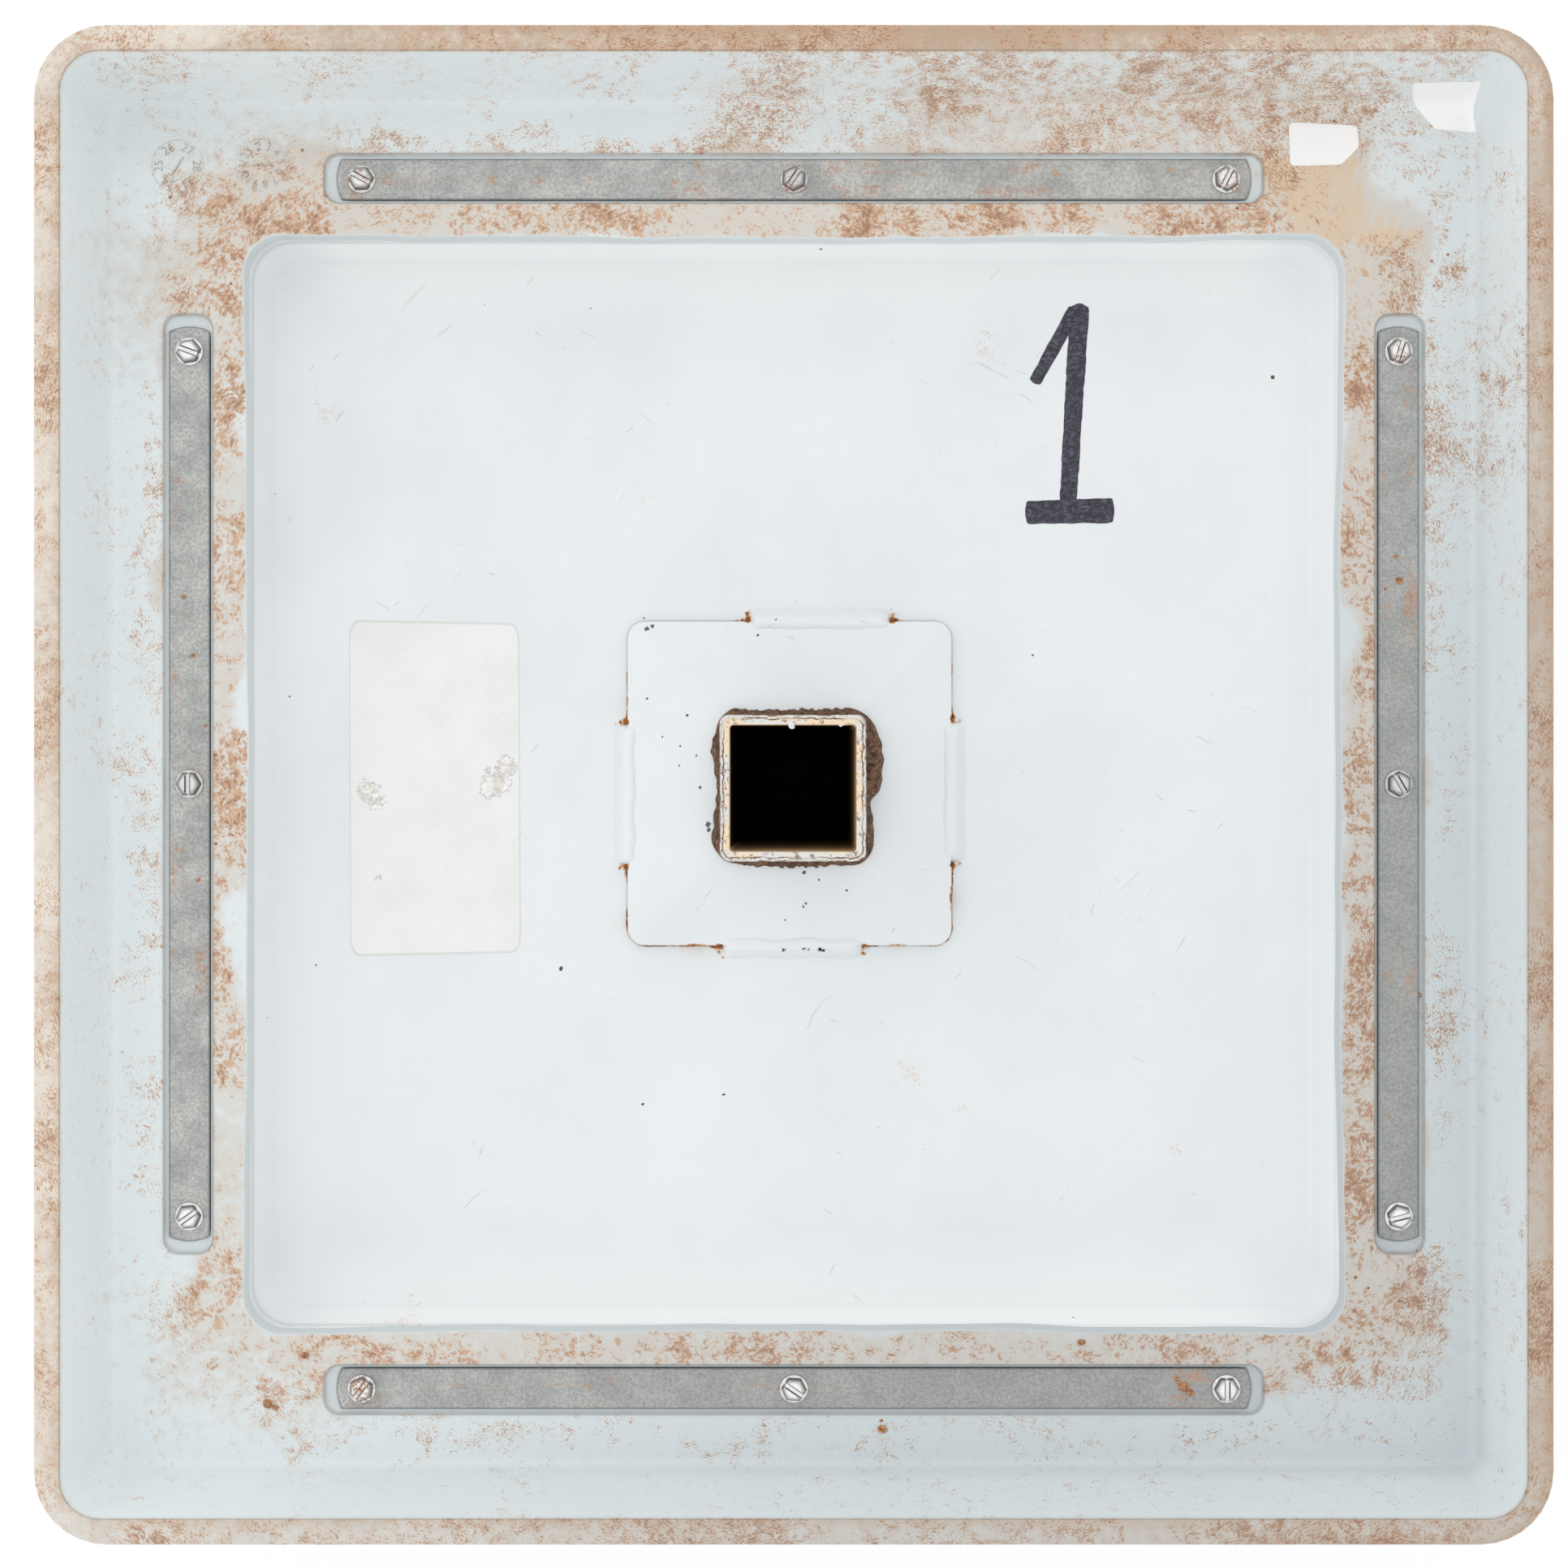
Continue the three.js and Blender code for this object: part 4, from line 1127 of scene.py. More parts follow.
def makeBead(side, shape):
    # across the bead, a straight line from toe to toe plus a parabola; along it, both shrink in a half
    # circle at the ends
    quarter = sides.index(side)
    middle, reach, inner, outer = beadPlace(side)
    ringCount, pointCount = shape["steps"]
    run = reach * np.sin(np.linspace(-np.pi / 2, np.pi / 2, ringCount))[:, None]
    across = np.linspace(-1, 1, pointCount)[None, :]
    beyond = np.clip((np.abs(run) - reach + shape["endRadius"]) / shape["endRadius"], 0, 1)
    ends = np.sqrt(1 - beyond**2)
    wave = shape["wander"] * ripple(30 + quarter, 12, run)
    breadth = (outer - inner) / 2 * (1 + 0.06 * ripple(24 + quarter, 9, run))
    x = (inner + outer) / 2 + wave + across * ends * breadth
    ground = np.where(x < plateSet["edgeHalf"], plateTop(x), panSet["seatZ"])
    crossed = np.clip((x - inner) / (outer - inner), 0, 1)
    line = plateTop(inner) + (panSet["seatZ"] - plateTop(inner)) * crossed
    swell = shape["crown"] * (1 - across**2) + shape["ridge"] * np.sin(9 * across + ripple(26, 20, run))
    z = ground + (line - ground) * ends + swell * ends - shape["sunk"] * (np.abs(across) > 0.97)
    points = np.stack([x, middle + run + 0 * across, z], axis=-1)
    under = points[:, ::-1] * [1, 1, 0] + [0, 0, panSet["seatZ"] - 0.1]
    shell = turnPoints(np.concatenate([points, under], axis=1), quarter, plateSet["shiftX"])
    rust = 0.5 * np.exp(-((beyond - 1) / 0.3) ** 2) + 0 * shell[..., 0]
    pores = patchDensity(shell[..., 0], shell[..., 1], shape["pores"])
    values = {"clay": 0 * rust, "rust": rust, "bare": easeBetween(0.35, 0.7, pores), "bright": 0 * rust}
    name = "edgeBead" + side.capitalize()
    makePiece(name, gridShape(shell[:, ::-1]), enamel, ["edge_weld_" + side], values)


for sideName in sides:
    makeBead(sideName, beadSet)
print("plate and beads made")


# Stanchion: a square tube with rounded edges at its open end.
tubeSet = {
    "wall": 2.7,
    "radius": 2.4,
    "boreRadius": 0.9,
    "endRound": 0.7,
    "wornLength": 60,
    "boreFade": (8, 200),  # how deep light reaches on the bore's shaded and lit walls
    "sidePoints": (-14, 14, 21),
    "endDents": 0.12,  # how deep its end face is dented
}


def makeTube(shape):
    outer = tubeHigh[0]
    inner = outer - shape["wall"]
    low, high = tubeLow[2], tubeHigh[2]
    wornFrom = high - shape["wornLength"]
    levels = np.concatenate([np.linspace(low + 1, wornFrom, 10), np.linspace(wornFrom + 5, high - 1.5, 14)])
    across = np.linspace(0.3, 0.7, 7)
    grow = shape["radius"] - shape["boreRadius"]
    corners = [
        (inner, shape["boreRadius"], low, 0.2),
        *[(inner, shape["boreRadius"], level, 0) for level in levels],
        (inner, shape["boreRadius"], high, shape["endRound"]),
        *[(inner + shape["wall"] * s, shape["boreRadius"] + grow * s, high, 0) for s in across],
        (outer, shape["radius"], high, shape["endRound"]),
        *[(outer, shape["radius"], level, 0) for level in levels[::-1]],
        (outer, shape["radius"], low, 0.2),
    ]
    half, radius, height = loopProfile(corners, 4)
    points, normals, _ = squareRings(half, radius, height, np.linspace(*shape["sidePoints"]), leads=2)
    z = points[..., 2]
    inside = np.repeat((half < inner + 0.1)[:, None] * 1.0, z.shape[1], 1)
    shaded, lit = shape["boreFade"]
    # the right and lower walls of the bore face the light
    towards = np.clip(np.maximum(normals[:, 0], -normals[:, 1]), 0, 1)
    depth = np.clip((high - z) / (shaded + (lit - shaded) * towards), 0, 1)
    ring = np.repeat(np.clip((outer - half) / shape["wall"], 0, 1)[:, None], z.shape[1], 1)
    face = easeBetween(high - 1.2, high - 0.5, z)
    end = easeBetween(wornFrom, high, z)
    rust = 1 - easeBetween(rootHigh[2] - 2, rootHigh[2] + 30, z)
    wave = ripple(41, 9, points[..., 0] + points[..., 1], z)
    wobble = shape["endDents"] * wave * easeBetween(high - 1.2, high, z)
    points[..., 2] += np.minimum(wobble, 0)
    values = {"inside": inside, "depth": depth, "ring": ring, "face": face, "end": end, "rust": rust * 0.6}
    tube = gridShape(points, closeRows=True)
    makePiece("stanchionTube", tube, wornTube, ["stanchion"], values, 60)


makeTube(tubeSet)


# Root crust: the fillet round the stanchion, lumpy with clay and rust, thicker on some sides than others.
crustSet = {
    # how far it spreads from the tube, at shares of the way round from the right side's lower end
    "spread": (
        (0.0, 6.4), (0.06, 5.8), (0.095, 8.6), (0.15, 9.6), (0.195, 8.4), (0.23, 5.8), (0.26, 4.8),
        (0.45, 4.8), (0.48, 5.5), (0.52, 6.8), (0.539, 8.3), (0.565, 6.2), (0.69, 6.4), (0.715, 7.6),
        (0.76, 7.6), (0.95, 7.5), (0.975, 7.8),
    ),
    "least": 2.0,  # it spreads at least so far
    "lump": 0.6,
    "fine": 0.4,
    "crown": 1.4,
    "sunk": 0.6,  # how far it may go down into the plate
    "sidePoints": (-15, 15, 61),
}


def makeCrust(shape):
    # each point of the tube's outline is pushed out by the spread, along a curve that falls from the tube to
    # the plate
    inner = tubeHigh[0] - 0.2
    low = rootLow[2]
    turn = np.linspace(0, 1, 15)
    height = np.concatenate([[low], rootHigh[2] - (rootHigh[2] - low) * turn**1.5, [low]])
    half = np.full(len(height), inner)
    radius = np.full(len(height), tubeSet["radius"])
    along = np.linspace(*shape["sidePoints"])
    points, normals, _ = squareRings(half, radius, height, along, cornerSteps=14, leads=2)
    push = np.concatenate([[0.0], np.sin(turn * np.pi / 2) ** 1.3, [0.0]])
    share, spread = np.array(shape["spread"]).T
    leg = np.interp(np.linspace(0, 1, points.shape[1]), share, spread, period=1)
    x, y = points[0, :, 0], points[0, :, 1]
    leg = leg + shape["lump"] * ripple(51, 9, x, y) + shape["fine"] * ripple(52, 2.6, x, y)
    bulge = push[:, None] * np.maximum(leg, shape["least"])
    points[..., :2] += bulge[..., None] * normals[None, :, :]
    swell = shape["crown"] * np.sin(np.pi * np.clip(push, 0, 1))[:, None]
    points[..., 2] += swell * (0.6 + 0.5 * ripple(53, 6, points[..., 0], points[..., 1]))
    reach = np.maximum(np.abs(points[..., 0]), np.abs(points[..., 1]))
    points[..., 2] = np.maximum(points[..., 2], plateTop(reach) - shape["sunk"])
    lumps = gridShape(points, closeRows=True)
    makePiece("rootCrust", lumps, crust, ["stanchion_weld"], None, 70)


makeCrust(crustSet)
print("tube and crust made")


# Clamp bars: a strip with bowed ends, whose edges are a little rounded.
barSet = {
    "round": 0.25,
    "bevel": 0.3,  # round the underside
    "topRings": (4.5, 2.0, 0.6),  # rings in the top face, as distances in from its outline
    "steps": (140, 13),  # points along a side, and over an end
    # clay dried on each bar: place along it, radius and amount
    "clay": {
        "right": (
            (-60, 10, 0.42), (10, 12, 0.3), (56, 14, 0.52), (98, 14, 0.34), (124, 10, 0.4), (-110, 12, 0.3),
        ),
        "top": (
            (-120, 20, 0.5), (-70, 22, 0.45), (-20, 22, 0.5), (30, 20, 0.4), (70, 14, 0.3), (136, 8, 0.5),
        ),
        "left": (
            (-30, 16, 0.4), (0, 14, 0.45), (26, 12, 0.5), (60, 14, 0.4), (-90, 14, 0.3), (110, 12, 0.25),
        ),
        "bottom": (
            (-134, 10, 0.5), (-60, 14, 0.25), (20, 16, 0.2), (124, 12, 0.55), (80, 14, 0.3),
        ),
    },
}


def makeBar(side, shape):
    # outline: up one long edge, over an end that bows as a parabola, and back; the rings step in at the top
    quarter = sides.index(side)
    halfWidth = (barHigh[0] - barLow[0]) / 2
    halfLength = (barHigh[1] - barLow[1]) / 2
    rounding, bevel = shape["round"], shape["bevel"]
    inset = np.array([*shape["topRings"], rounding, 0.3 * rounding, 0, 0, bevel])[:, None]
    thick = barHigh[2] - barLow[2]
    levels = barHigh[2] - np.array([0, 0, 0, 0, 0.3 * rounding, rounding, thick - bevel, thick])
    width = halfWidth - inset
    sideCount, endCount = shape["steps"]
    sway = np.linspace(1, -1, endCount)[None, 1:-1]
    long = np.linspace(-1, 1, sideCount)[None, :]
    straight = halfLength - inset - barBow
    tip = halfLength - inset - barBow * sway**2
    x = np.concatenate([width + 0 * long, width * sway, -width + 0 * long, -width * sway], axis=1)
    y = np.concatenate([straight * long, tip, -straight * long, -tip], axis=1)
    points = np.stack([x + barLine, y, np.repeat(levels[:, None], x.shape[1], axis=1)], axis=-1)
    patches = [
        (barLine + 3 * (-1) ** k, place, reach, amount)  # in turn on either side of the bar's middle line
        for k, (place, reach, amount) in enumerate(shape["clay"][side])
    ]
    clay = patchDensity(points[..., 0], points[..., 1], patches)
    # painted shade on the rounded top edge and the sides, which the finish darkens to an outline
    edge = np.repeat((inset < bevel) * 0.5, x.shape[1], axis=1)
    turned = turnPoints(points, quarter)
    name = "clampBar" + side.capitalize()
    values = {"clay": clay, "edge": edge}
    makePiece(name, gridShape(turned), dullZinc, ["clamp_bar_" + side], values)


for sideName in sides:
    makeBar(sideName, barSet)
print("bars made")


# Screws: a dished washer and a hexagon with a round top, cut by a driver slot, on a shank under the bar.
screwSet = {
    "washerRadius": 4.4,
    "washerEdge": 0.55,
    "hexFlats": 6.35,
    "topRadius": 2.35,
    "topFall": 0.45,  # from the round top down to the hexagon's edge
    "skirt": 0.4,  # how far the hexagon flares where it meets the washer
    "slotHalf": (0.92, 0.55),  # at the top and at the floor
    "slotDepth": 0.6,
    "shankRadius": 2.1,
    "headSteps": 36,  # points round half a head
    "washerSteps": 48,  # and round the washer
    # angle of each driver slot, in degrees from +X, from the first to the third of a side
    "slots": {"right": (14, 120, 72), "top": (63, 55, 152), "left": (160, 90, 36), "bottom": (53, 146, 90)},
    # how dull and how clayed each head is, in the same order
    "dull": {"right": (0, 0.3, 0.05), "top": (0.05, 0.3, 0.12), "left": (0, 0.2, 0), "bottom": (0, 0.03, 0)},
    "clayed": {
        "right": (0, 0, 0.25), "top": (0.28, 0.35, 0.3), "left": (0.1, 0.2, 0), "bottom": (0.4, 0.05, 0.1),
    },
}


def ringPoints(profile, count):
    # a profile of (radius, height) carried round the axis
    turn = np.linspace(0, 2 * np.pi, count + 1)[None, :-1]
    radius, height = np.array(profile, float).T[:, :, None]
    return np.stack([radius * np.cos(turn), radius * np.sin(turn), height + 0 * turn], axis=-1)


def prismPoints(outline, levels):
    # an outline drawn in to a share of its size at each level
    rows = [np.column_stack([outline * share, np.full(len(outline), level)]) for share, level in levels]
    return np.stack(rows)


def headHalf(turn, radii, gaps, levels):
    # one half of the head beside the slot: for each ring, points at its radius over half a turn, held off
    # from the slot by a gap
    x = radii * np.cos(turn)
    y = np.maximum(radii * np.sin(turn), gaps[:, None])
    return np.stack([x, y, np.repeat(levels[:, None], len(turn), axis=1)], axis=-1)


def makeScrew(side, number, shape):
    low, high = nodeBox(f"screw_{side}_{number}")
    middle = (low + high) / 2
    seat = barHigh[2] + 0.05
    top = high[2]
    floor = top - shape["slotDepth"]
    flat = shape["hexFlats"] / 2
    radius = shape["washerRadius"]
    shank = shape["shankRadius"]
    edge = seat + shape["washerEdge"]
    collar = seat + 0.95
    washer = ringPoints([
        (0.1, collar), (flat - 0.2, collar), (flat + 0.3, collar - 0.1), (radius - 0.4, edge + 0.3),
        (radius - 0.1, edge + 0.1), (radius, edge - 0.18), (radius, seat),
        (shank, seat - 0.02), (shank, low[2] + 1.4), (0.7, low[2]), (0.1, low[2]),
    ], shape["washerSteps"])
    # painted shade on the washer: dark round its edge and on the collar and shank
    washerShade = np.array([0.6, 0.6, 0, 0, 0, 0.5, 0.85, 0.8, 0.8, 0.8, 0.8])
    turn = np.linspace(0, np.pi, shape["headSteps"] + 1)
    hexRadius = flat / np.cos((turn + np.pi / 6) % (np.pi / 3) - np.pi / 6)
    rounded = np.full(len(turn), shape["topRadius"])
    skirt = hexRadius + shape["skirt"]
    radii = np.stack([0.94 * rounded, rounded, 0.93 * hexRadius, 0.97 * hexRadius, skirt])
    fall = shape["topFall"]
    levels = np.array([top, top - 0.05, top - fall, top - fall - 0.12, collar - 0.03])
    wide, narrow = shape["slotHalf"]
    upper = headHalf(turn, radii, np.array([wide, wide - 0.03, narrow + 0.08, narrow, narrow]), levels)
    lower = upper * np.array([-1, -1, 1])
    # painted shade on the head: darker down the hexagon's slopes and sides
    headShade = np.repeat(np.array([0.0, 0.2, 0.62, 0.8, 0.88])[:, None], len(turn), axis=1)
    # painted shade on the slot's walls
    headShade[1:, [0, -1]] = 0.95  # the slot's walls
    wholeTurn = np.concatenate([hexRadius[:-1], hexRadius[:-1]])
    around = np.linspace(0, 2 * np.pi, len(wholeTurn) + 1)[:-1]
    rim = np.column_stack([wholeTurn * np.cos(around), wholeTurn * np.sin(around)])
    below = prismPoints(rim, [(0.95, floor), (0.97, floor - 0.03), (0.97, seat + 0.6)])
    # painted shade down the hexagon's sides
    belowShade = np.array([0.0, 0.5, 0.85])
    joined = joinShapes([gridShape(part) for part in (washer, below, upper, lower)])
    screw = placeShape(joined, shape["slots"][side][number - 1], middle[0], middle[1])
    grimeAndShade = np.concatenate([
        np.repeat(washerShade, shape["washerSteps"]), np.repeat(belowShade, len(rim)),
        headShade.ravel(), headShade.ravel(),
    ])
    grimeAndShade = 1 - (1 - grimeAndShade) * (1 - shape["dull"][side][number - 1])
    values = {"grimeAndShade": grimeAndShade, "clay": np.full(len(grimeAndShade), shape["clayed"][side][number - 1])}
    name = f"screw{side.capitalize()}{number}"
    makePiece(name, screw, brightZinc, [f"screw_{side}_{number}"], values, 28)


for sideName in sides:
    for place in (1, 2, 3):
        makeScrew(sideName, place, screwSet)
print("screws made")


# Crumbs of dry clay: flattened lumps on the bars and the flange.
crumbSet = {
    "seed": 7,
    "area": 212,  # half width of the square that small crumbs are drawn in
    "tries": 4000,
    "scattered": 130,  # how many are kept
    "smallRadius": (0.22, 0.62),
    # larger lumps seen in the photo: x, y, radius
    "lumps": (
        (-137.5, 186.6, 1.5), (-136.0, 185.2, 1.0), (-134.0, -188.5, 1.7), (-132.6, -190.0, 1.1),
        (121.5, -188.2, 2.0), (123.8, -190.2, 1.2), (119.8, -186.0, 0.9), (-164.0, -193.0, 1.7),
        (-161.6, -194.4, 1.1), (-152.5, -178.0, 1.5), (-212.0, -4.0, 1.2), (27.6, -201.0, 1.5),
        (89.5, -174.0, 1.3), (189.0, 63.5, 1.2), (188.0, 71.0, 0.8), (196.0, -66.0, 0.9),
        (-188.0, 40.0, 0.9), (-190.6, 58.5, 0.8), (-186.0, -30.0, 0.8), (-215.0, -190.0, 1.3),
    ),
}


def groundHeight(x, y):
    # height of what a crumb lies on: a bar, a slot's floor, the flange or the pan
    reachX, reachY = np.abs(x), np.abs(y)
    across = np.maximum(reachX, reachY)
    along = np.minimum(reachX, reachY)
    flatHalf, flatEnd = 6.2, barHigh[1] - 2  # of a bar's top face
    onBar = (np.abs(across - barLine) < flatHalf) & (along < flatEnd)
    flange = coverSet["flangeZ"] - slotDrop(across, along, coverSet)
    return np.where(onBar, barHigh[2], np.where(across > coverSet["lipHalf"] + 2, flange, panFloor(x, y)))


def lumpShapes(draw, x, y, z, radius):
    # flattened half balls, with each point of their rings moved in or out by a random share
    fall = np.array([0.12, 0.5, 0.95, 1.25, 1.6])[None, :, None]  # angles from its top to below its waist
    turn = np.linspace(0, 2 * np.pi, 9)[None, None, :-1]
    rough = 1 + 0.28 * draw.uniform(-1, 1, (len(x), fall.size, turn.size))
    spin = draw.uniform(0, 2 * np.pi, len(x))[:, None, None]
    squat = draw.uniform(0.45, 0.75, len(x))[:, None, None]
    size = radius[:, None, None] * rough
    px = x[:, None, None] + size * np.sin(fall) * np.cos(turn + spin)
    py = y[:, None, None] + size * np.sin(fall) * np.sin(turn + spin) * 0.8
    pz = z[:, None, None] + size * squat * np.cos(fall)
    return [gridShape(lump) for lump in np.stack([px, py, pz], axis=-1)]


def makeCrumbs(shape):
    draw = np.random.default_rng(shape["seed"])
    tries = draw.uniform(-shape["area"], shape["area"], (shape["tries"], 2))
    across = np.abs(tries).max(axis=1)
    wanted = patchDensity(tries[:, 0], tries[:, 1], clayPatches) * (across > coverSet["lipHalf"] + 3)
    kept = tries[draw.uniform(0, 1, len(tries)) < wanted**2][: shape["scattered"]]
    lumps = np.array(shape["lumps"])
    x = np.concatenate([kept[:, 0], lumps[:, 0]])
    y = np.concatenate([kept[:, 1], lumps[:, 1]])
    radius = np.concatenate([draw.uniform(*shape["smallRadius"], len(kept)), lumps[:, 2]])
    shapes = lumpShapes(draw, x, y, groundHeight(x, y) - 0.05, radius)
    makePiece("clayCrumbs", joinShapes(shapes), dryClay, (), None, 60)


makeCrumbs(crumbSet)


# Chips and drips: dark specks where paint has come off plate and pan, and drops of paint on the tube's end.
chipSet = {
    "seed": 17,
    "height": 0.06,
    # x, y and radius of each
    "chips": (
        (-47.2, 49.6, 0.75), (-45.5, 50.4, 0.65), (-47.1, 27.2, 0.35), (-34.1, 21.7, 0.5),
        (-36.3, 11.9, 0.35), (-31.1, 8.9, 0.35), (-36.7, 5.7, 0.3), (-29.9, -1.2, 0.5),
        (-27.4, -13.0, 0.8), (-27.2, -14.8, 0.7), (-42.1, 14.9, 0.3), (3.3, -28.4, 0.6),
        (7.9, -30.7, 0.35), (16.8, -34.1, 0.4), (3.7, -38.4, 0.4), (3.0, -39.4, 0.35), (-2.9, -43.7, 0.3),
        (-11.6, 47.5, 0.4), (-48.4, 53.2, 0.35), (60.8, 44.9, 0.35),
    ),
    "drips": ((-0.3, 16.5, 0.9), (-0.2, 15.9, 0.7), (12.4, 16.4, 0.55), (13.0, 16.6, 0.4)),
}


def makeChips(shape):
    # chips are discs with ragged edges laid on the surface, and drips are lumps on the end face
    draw = np.random.default_rng(shape["seed"])
    x, y, radius = np.array(shape["chips"]).T[:, :, None, None]
    turn = np.linspace(0, 2 * np.pi, 13)[None, None, :-1]
    ragged = 1 + 0.35 * draw.uniform(-1, 1, (len(x), 1, turn.size))
    size = radius * np.array([0.05, 0.8, 1.0, 1.0])[None, :, None] * ragged
    px = x + size * np.cos(turn)
    py = y + size * np.sin(turn)
    reach = np.maximum(np.abs(px - plateSet["shiftX"]), np.abs(py))
    ground = np.where(reach < plateSet["edgeHalf"], plateTop(reach), panSet["seatZ"])
    pz = ground + shape["height"] * np.array([1.0, 1.0, 0.6, -0.5])[None, :, None]
    flakes = joinShapes([gridShape(flake) for flake in np.stack([px, py, pz], axis=-1)])
    none = np.zeros(len(flakes[0]))
    values = {"clay": none, "rust": none, "bare": none + 0.85, "bright": none}
    makePiece("paintChips", flakes, enamel, (), values, 60)
    x, y, radius = np.array(shape["drips"]).T
    drops = joinShapes(lumpShapes(draw, x, y, tubeHigh[2] - 0.2 + 0 * x, radius))
    none = np.zeros(len(drops[0]))
    values = {"clay": none, "rust": none, "bare": none, "bright": none}
    makePiece("paintDrips", drops, enamel, (), values, 60)


makeChips(chipSet)
print("crumbs, chips and drips made")


# Blank label on the pan and blank stickers by the corner: thin sheets laid on what carries them.
sheetGap = 0.03  # paper and ink stand so far off what carries them
labelSet = {
    "outline": ((-143, 52.5), (-88.5, 51.5), (-88, -54.5), (-142.5, -55.5)),
    "cornerCut": 0.06,
    "thick": 0.1,
    "aged": 1.0,
    # where its face has torn off: x, y, radius and amount
    "torn": (
        (-96, 0, 8, 0.75), (-93, 5, 6, 0.7), (-137, -2, 6, 0.7), (-134, -6, 5, 0.66), (-134, -30, 4, 0.5),
    ),
}
stickerSets = (
    {
        "outline": ((154.2, 206.4), (175.6, 205.2), (176.2, 198.6), (170.6, 193.0), (154.6, 192.6)),
        "cornerCut": 0.12,
        "thick": 0.1,
        "aged": 0.0,
        "torn": ((165, 199, 6, 0.3),),
    },
    {
        "outline": ((189.9, 215.5), (210.8, 215.7), (212.3, 203.0), (199.8, 204.1)),
        "cornerCut": 0.05,
        "thick": 0.1,
        "aged": 0.0,
        "torn": ((208, 206, 4, 0.3),),
    },
)


def roundedOutline(corners, cut, steps=40):
    # each corner becomes a parabola that leaves its two sides at the same share of them, with points along
    # the sides between
    corner = np.array(corners, float)
    before = np.roll(corner, 1, axis=0)
    after = np.roll(corner, -1, axis=0)
    start = corner + (before - corner) * cut
    end = corner + (after - corner) * cut
    share = np.linspace(0, 1, 7)[:, None, None]
    bend = (1 - share) ** 2 * start + 2 * share * (1 - share) * corner + share**2 * end
    nextStart = np.roll(start, -1, axis=0)
    side = end + (nextStart - end) * np.linspace(0, 1, steps)[1:-1, None, None]
    return np.concatenate([bend, side]).transpose(1, 0, 2).reshape(-1, 2)


def sheetShape(shape, heightAt):
    # rings of the outline drawn in towards its middle, on the carrier's height: out along the top of the
    # sheet, down its edge and back underneath
    rim = roundedOutline(shape["outline"], shape["cornerCut"])[::-1]
    centre = rim.mean(axis=0)
    over = np.append(np.linspace(0.0005, 0.95, 40), [0.985, 0.992, 1.0])
    under = np.append(1.0, np.linspace(0.95, 0.0005, 20))
    shares = np.concatenate([over, under])[:, None, None]
    lift = np.concatenate([np.ones(len(over) - 1), [0.7], np.full(len(under), -0.1)]) * shape["thick"]
    spread = centre + (rim - centre) * shares
    height = heightAt(spread[..., 0], spread[..., 1]) + sheetGap + lift[:, None]
    edge = np.repeat(0.5 * (shares[:, :, 0] > 0.99), len(rim), axis=1)
    points = np.concatenate([spread, height[..., None]], axis=-1)[:, ::-1]
    return gridShape(points), edge.ravel()


def flangeHeight(x, y):
    # height of the flange and the recess wall: the half width of the rounded square through a point is found
    # by turns, as its corner's middle plus the point's distance from there, and the cover's section gives
    # the height
    pastSlots, toRim = 198, 221  # half widths that the section is read between
    onTop = (coverHeights > coverSet["flangeZ"] - 0.01) & (coverHalves > pastSlots) & (coverHalves < toRim)
    order = np.argsort(coverHalves[onTop])
    rings = [column[onTop][order] for column in (coverHalves, coverRadii, coverHeights)]
    half = np.maximum(np.abs(x), np.abs(y))
    for _ in range(8):
        core = half - np.interp(half, rings[0], rings[1])
        beyond = np.hypot(np.maximum(np.abs(x) - core, 0), np.maximum(np.abs(y) - core, 0))
        half = core + beyond
    return np.interp(half, rings[0], rings[2])


def makeSheet(name, shape, heightAt):
    sheet, edge = sheetShape(shape, heightAt)
    torn = patchDensity(sheet[0][:, 0], sheet[0][:, 1], shape["torn"])
    aged = np.full(len(torn), shape["aged"])
    makePiece(name, sheet, blankLabel, (), {"torn": torn, "edge": edge, "aged": aged}, 60)


makeSheet("blankLabel", labelSet, panFloor)
for index, sticker in enumerate(stickerSets):
    makeSheet(f"blankSticker{index + 1}", sticker, flangeHeight)


# Base number in marker on the pan: strokes whose width swells a little, laid on the floor.
inkSet = {
    "thick": 0.07,
    # each stroke: from x, y to x, y, with its half width at both ends
    "strokes": (
        ((91.8, 154.2), (88.0, 88.0), 2.4, 2.1),
        ((90.6, 152.6), (77.2, 128.6), 1.8, 1.5),
        ((74.4, 87.2), (103.0, 87.8), 2.8, 3.1),
    ),
}


def strokeShape(stroke, thick, seed):
    # a ribbon along the line between two points, its edges moved by small waves
    (x0, y0), (x1, y1), startHalf, endHalf = stroke
    share = np.linspace(0, 1, 60)[:, None]
    length = math.hypot(x1 - x0, y1 - y0)
    outX, outY = -(y1 - y0) / length, (x1 - x0) / length
    across = np.array([-1, -1, -0.9, 0.9, 1, 1])[None, :]
    lift = np.array([0, 0.6, 1, 1, 0.6, 0])[None, :] * thick
    ends = np.sqrt(np.clip(1 - (2 * share - 1) ** 40, 0, 1)) + 0.3
    half = (startHalf + (endHalf - startHalf) * share) * ends
    edge = half * across + 0.16 * ripple(seed, 5, share * length, across * 3)
    x = x0 + (x1 - x0) * share + outX * edge
    y = y0 + (y1 - y0) * share + outY * edge
    points = np.stack([x, y, panFloor(x, y) + sheetGap + lift], axis=-1)
    return gridShape(points[:, ::-1])


inkShapes = [strokeShape(stroke, inkSet["thick"], 70 + k) for k, stroke in enumerate(inkSet["strokes"])]
makePiece("markerNumeral", joinShapes(inkShapes), markerInk, (), None, 60)
print("label, stickers and ink made")


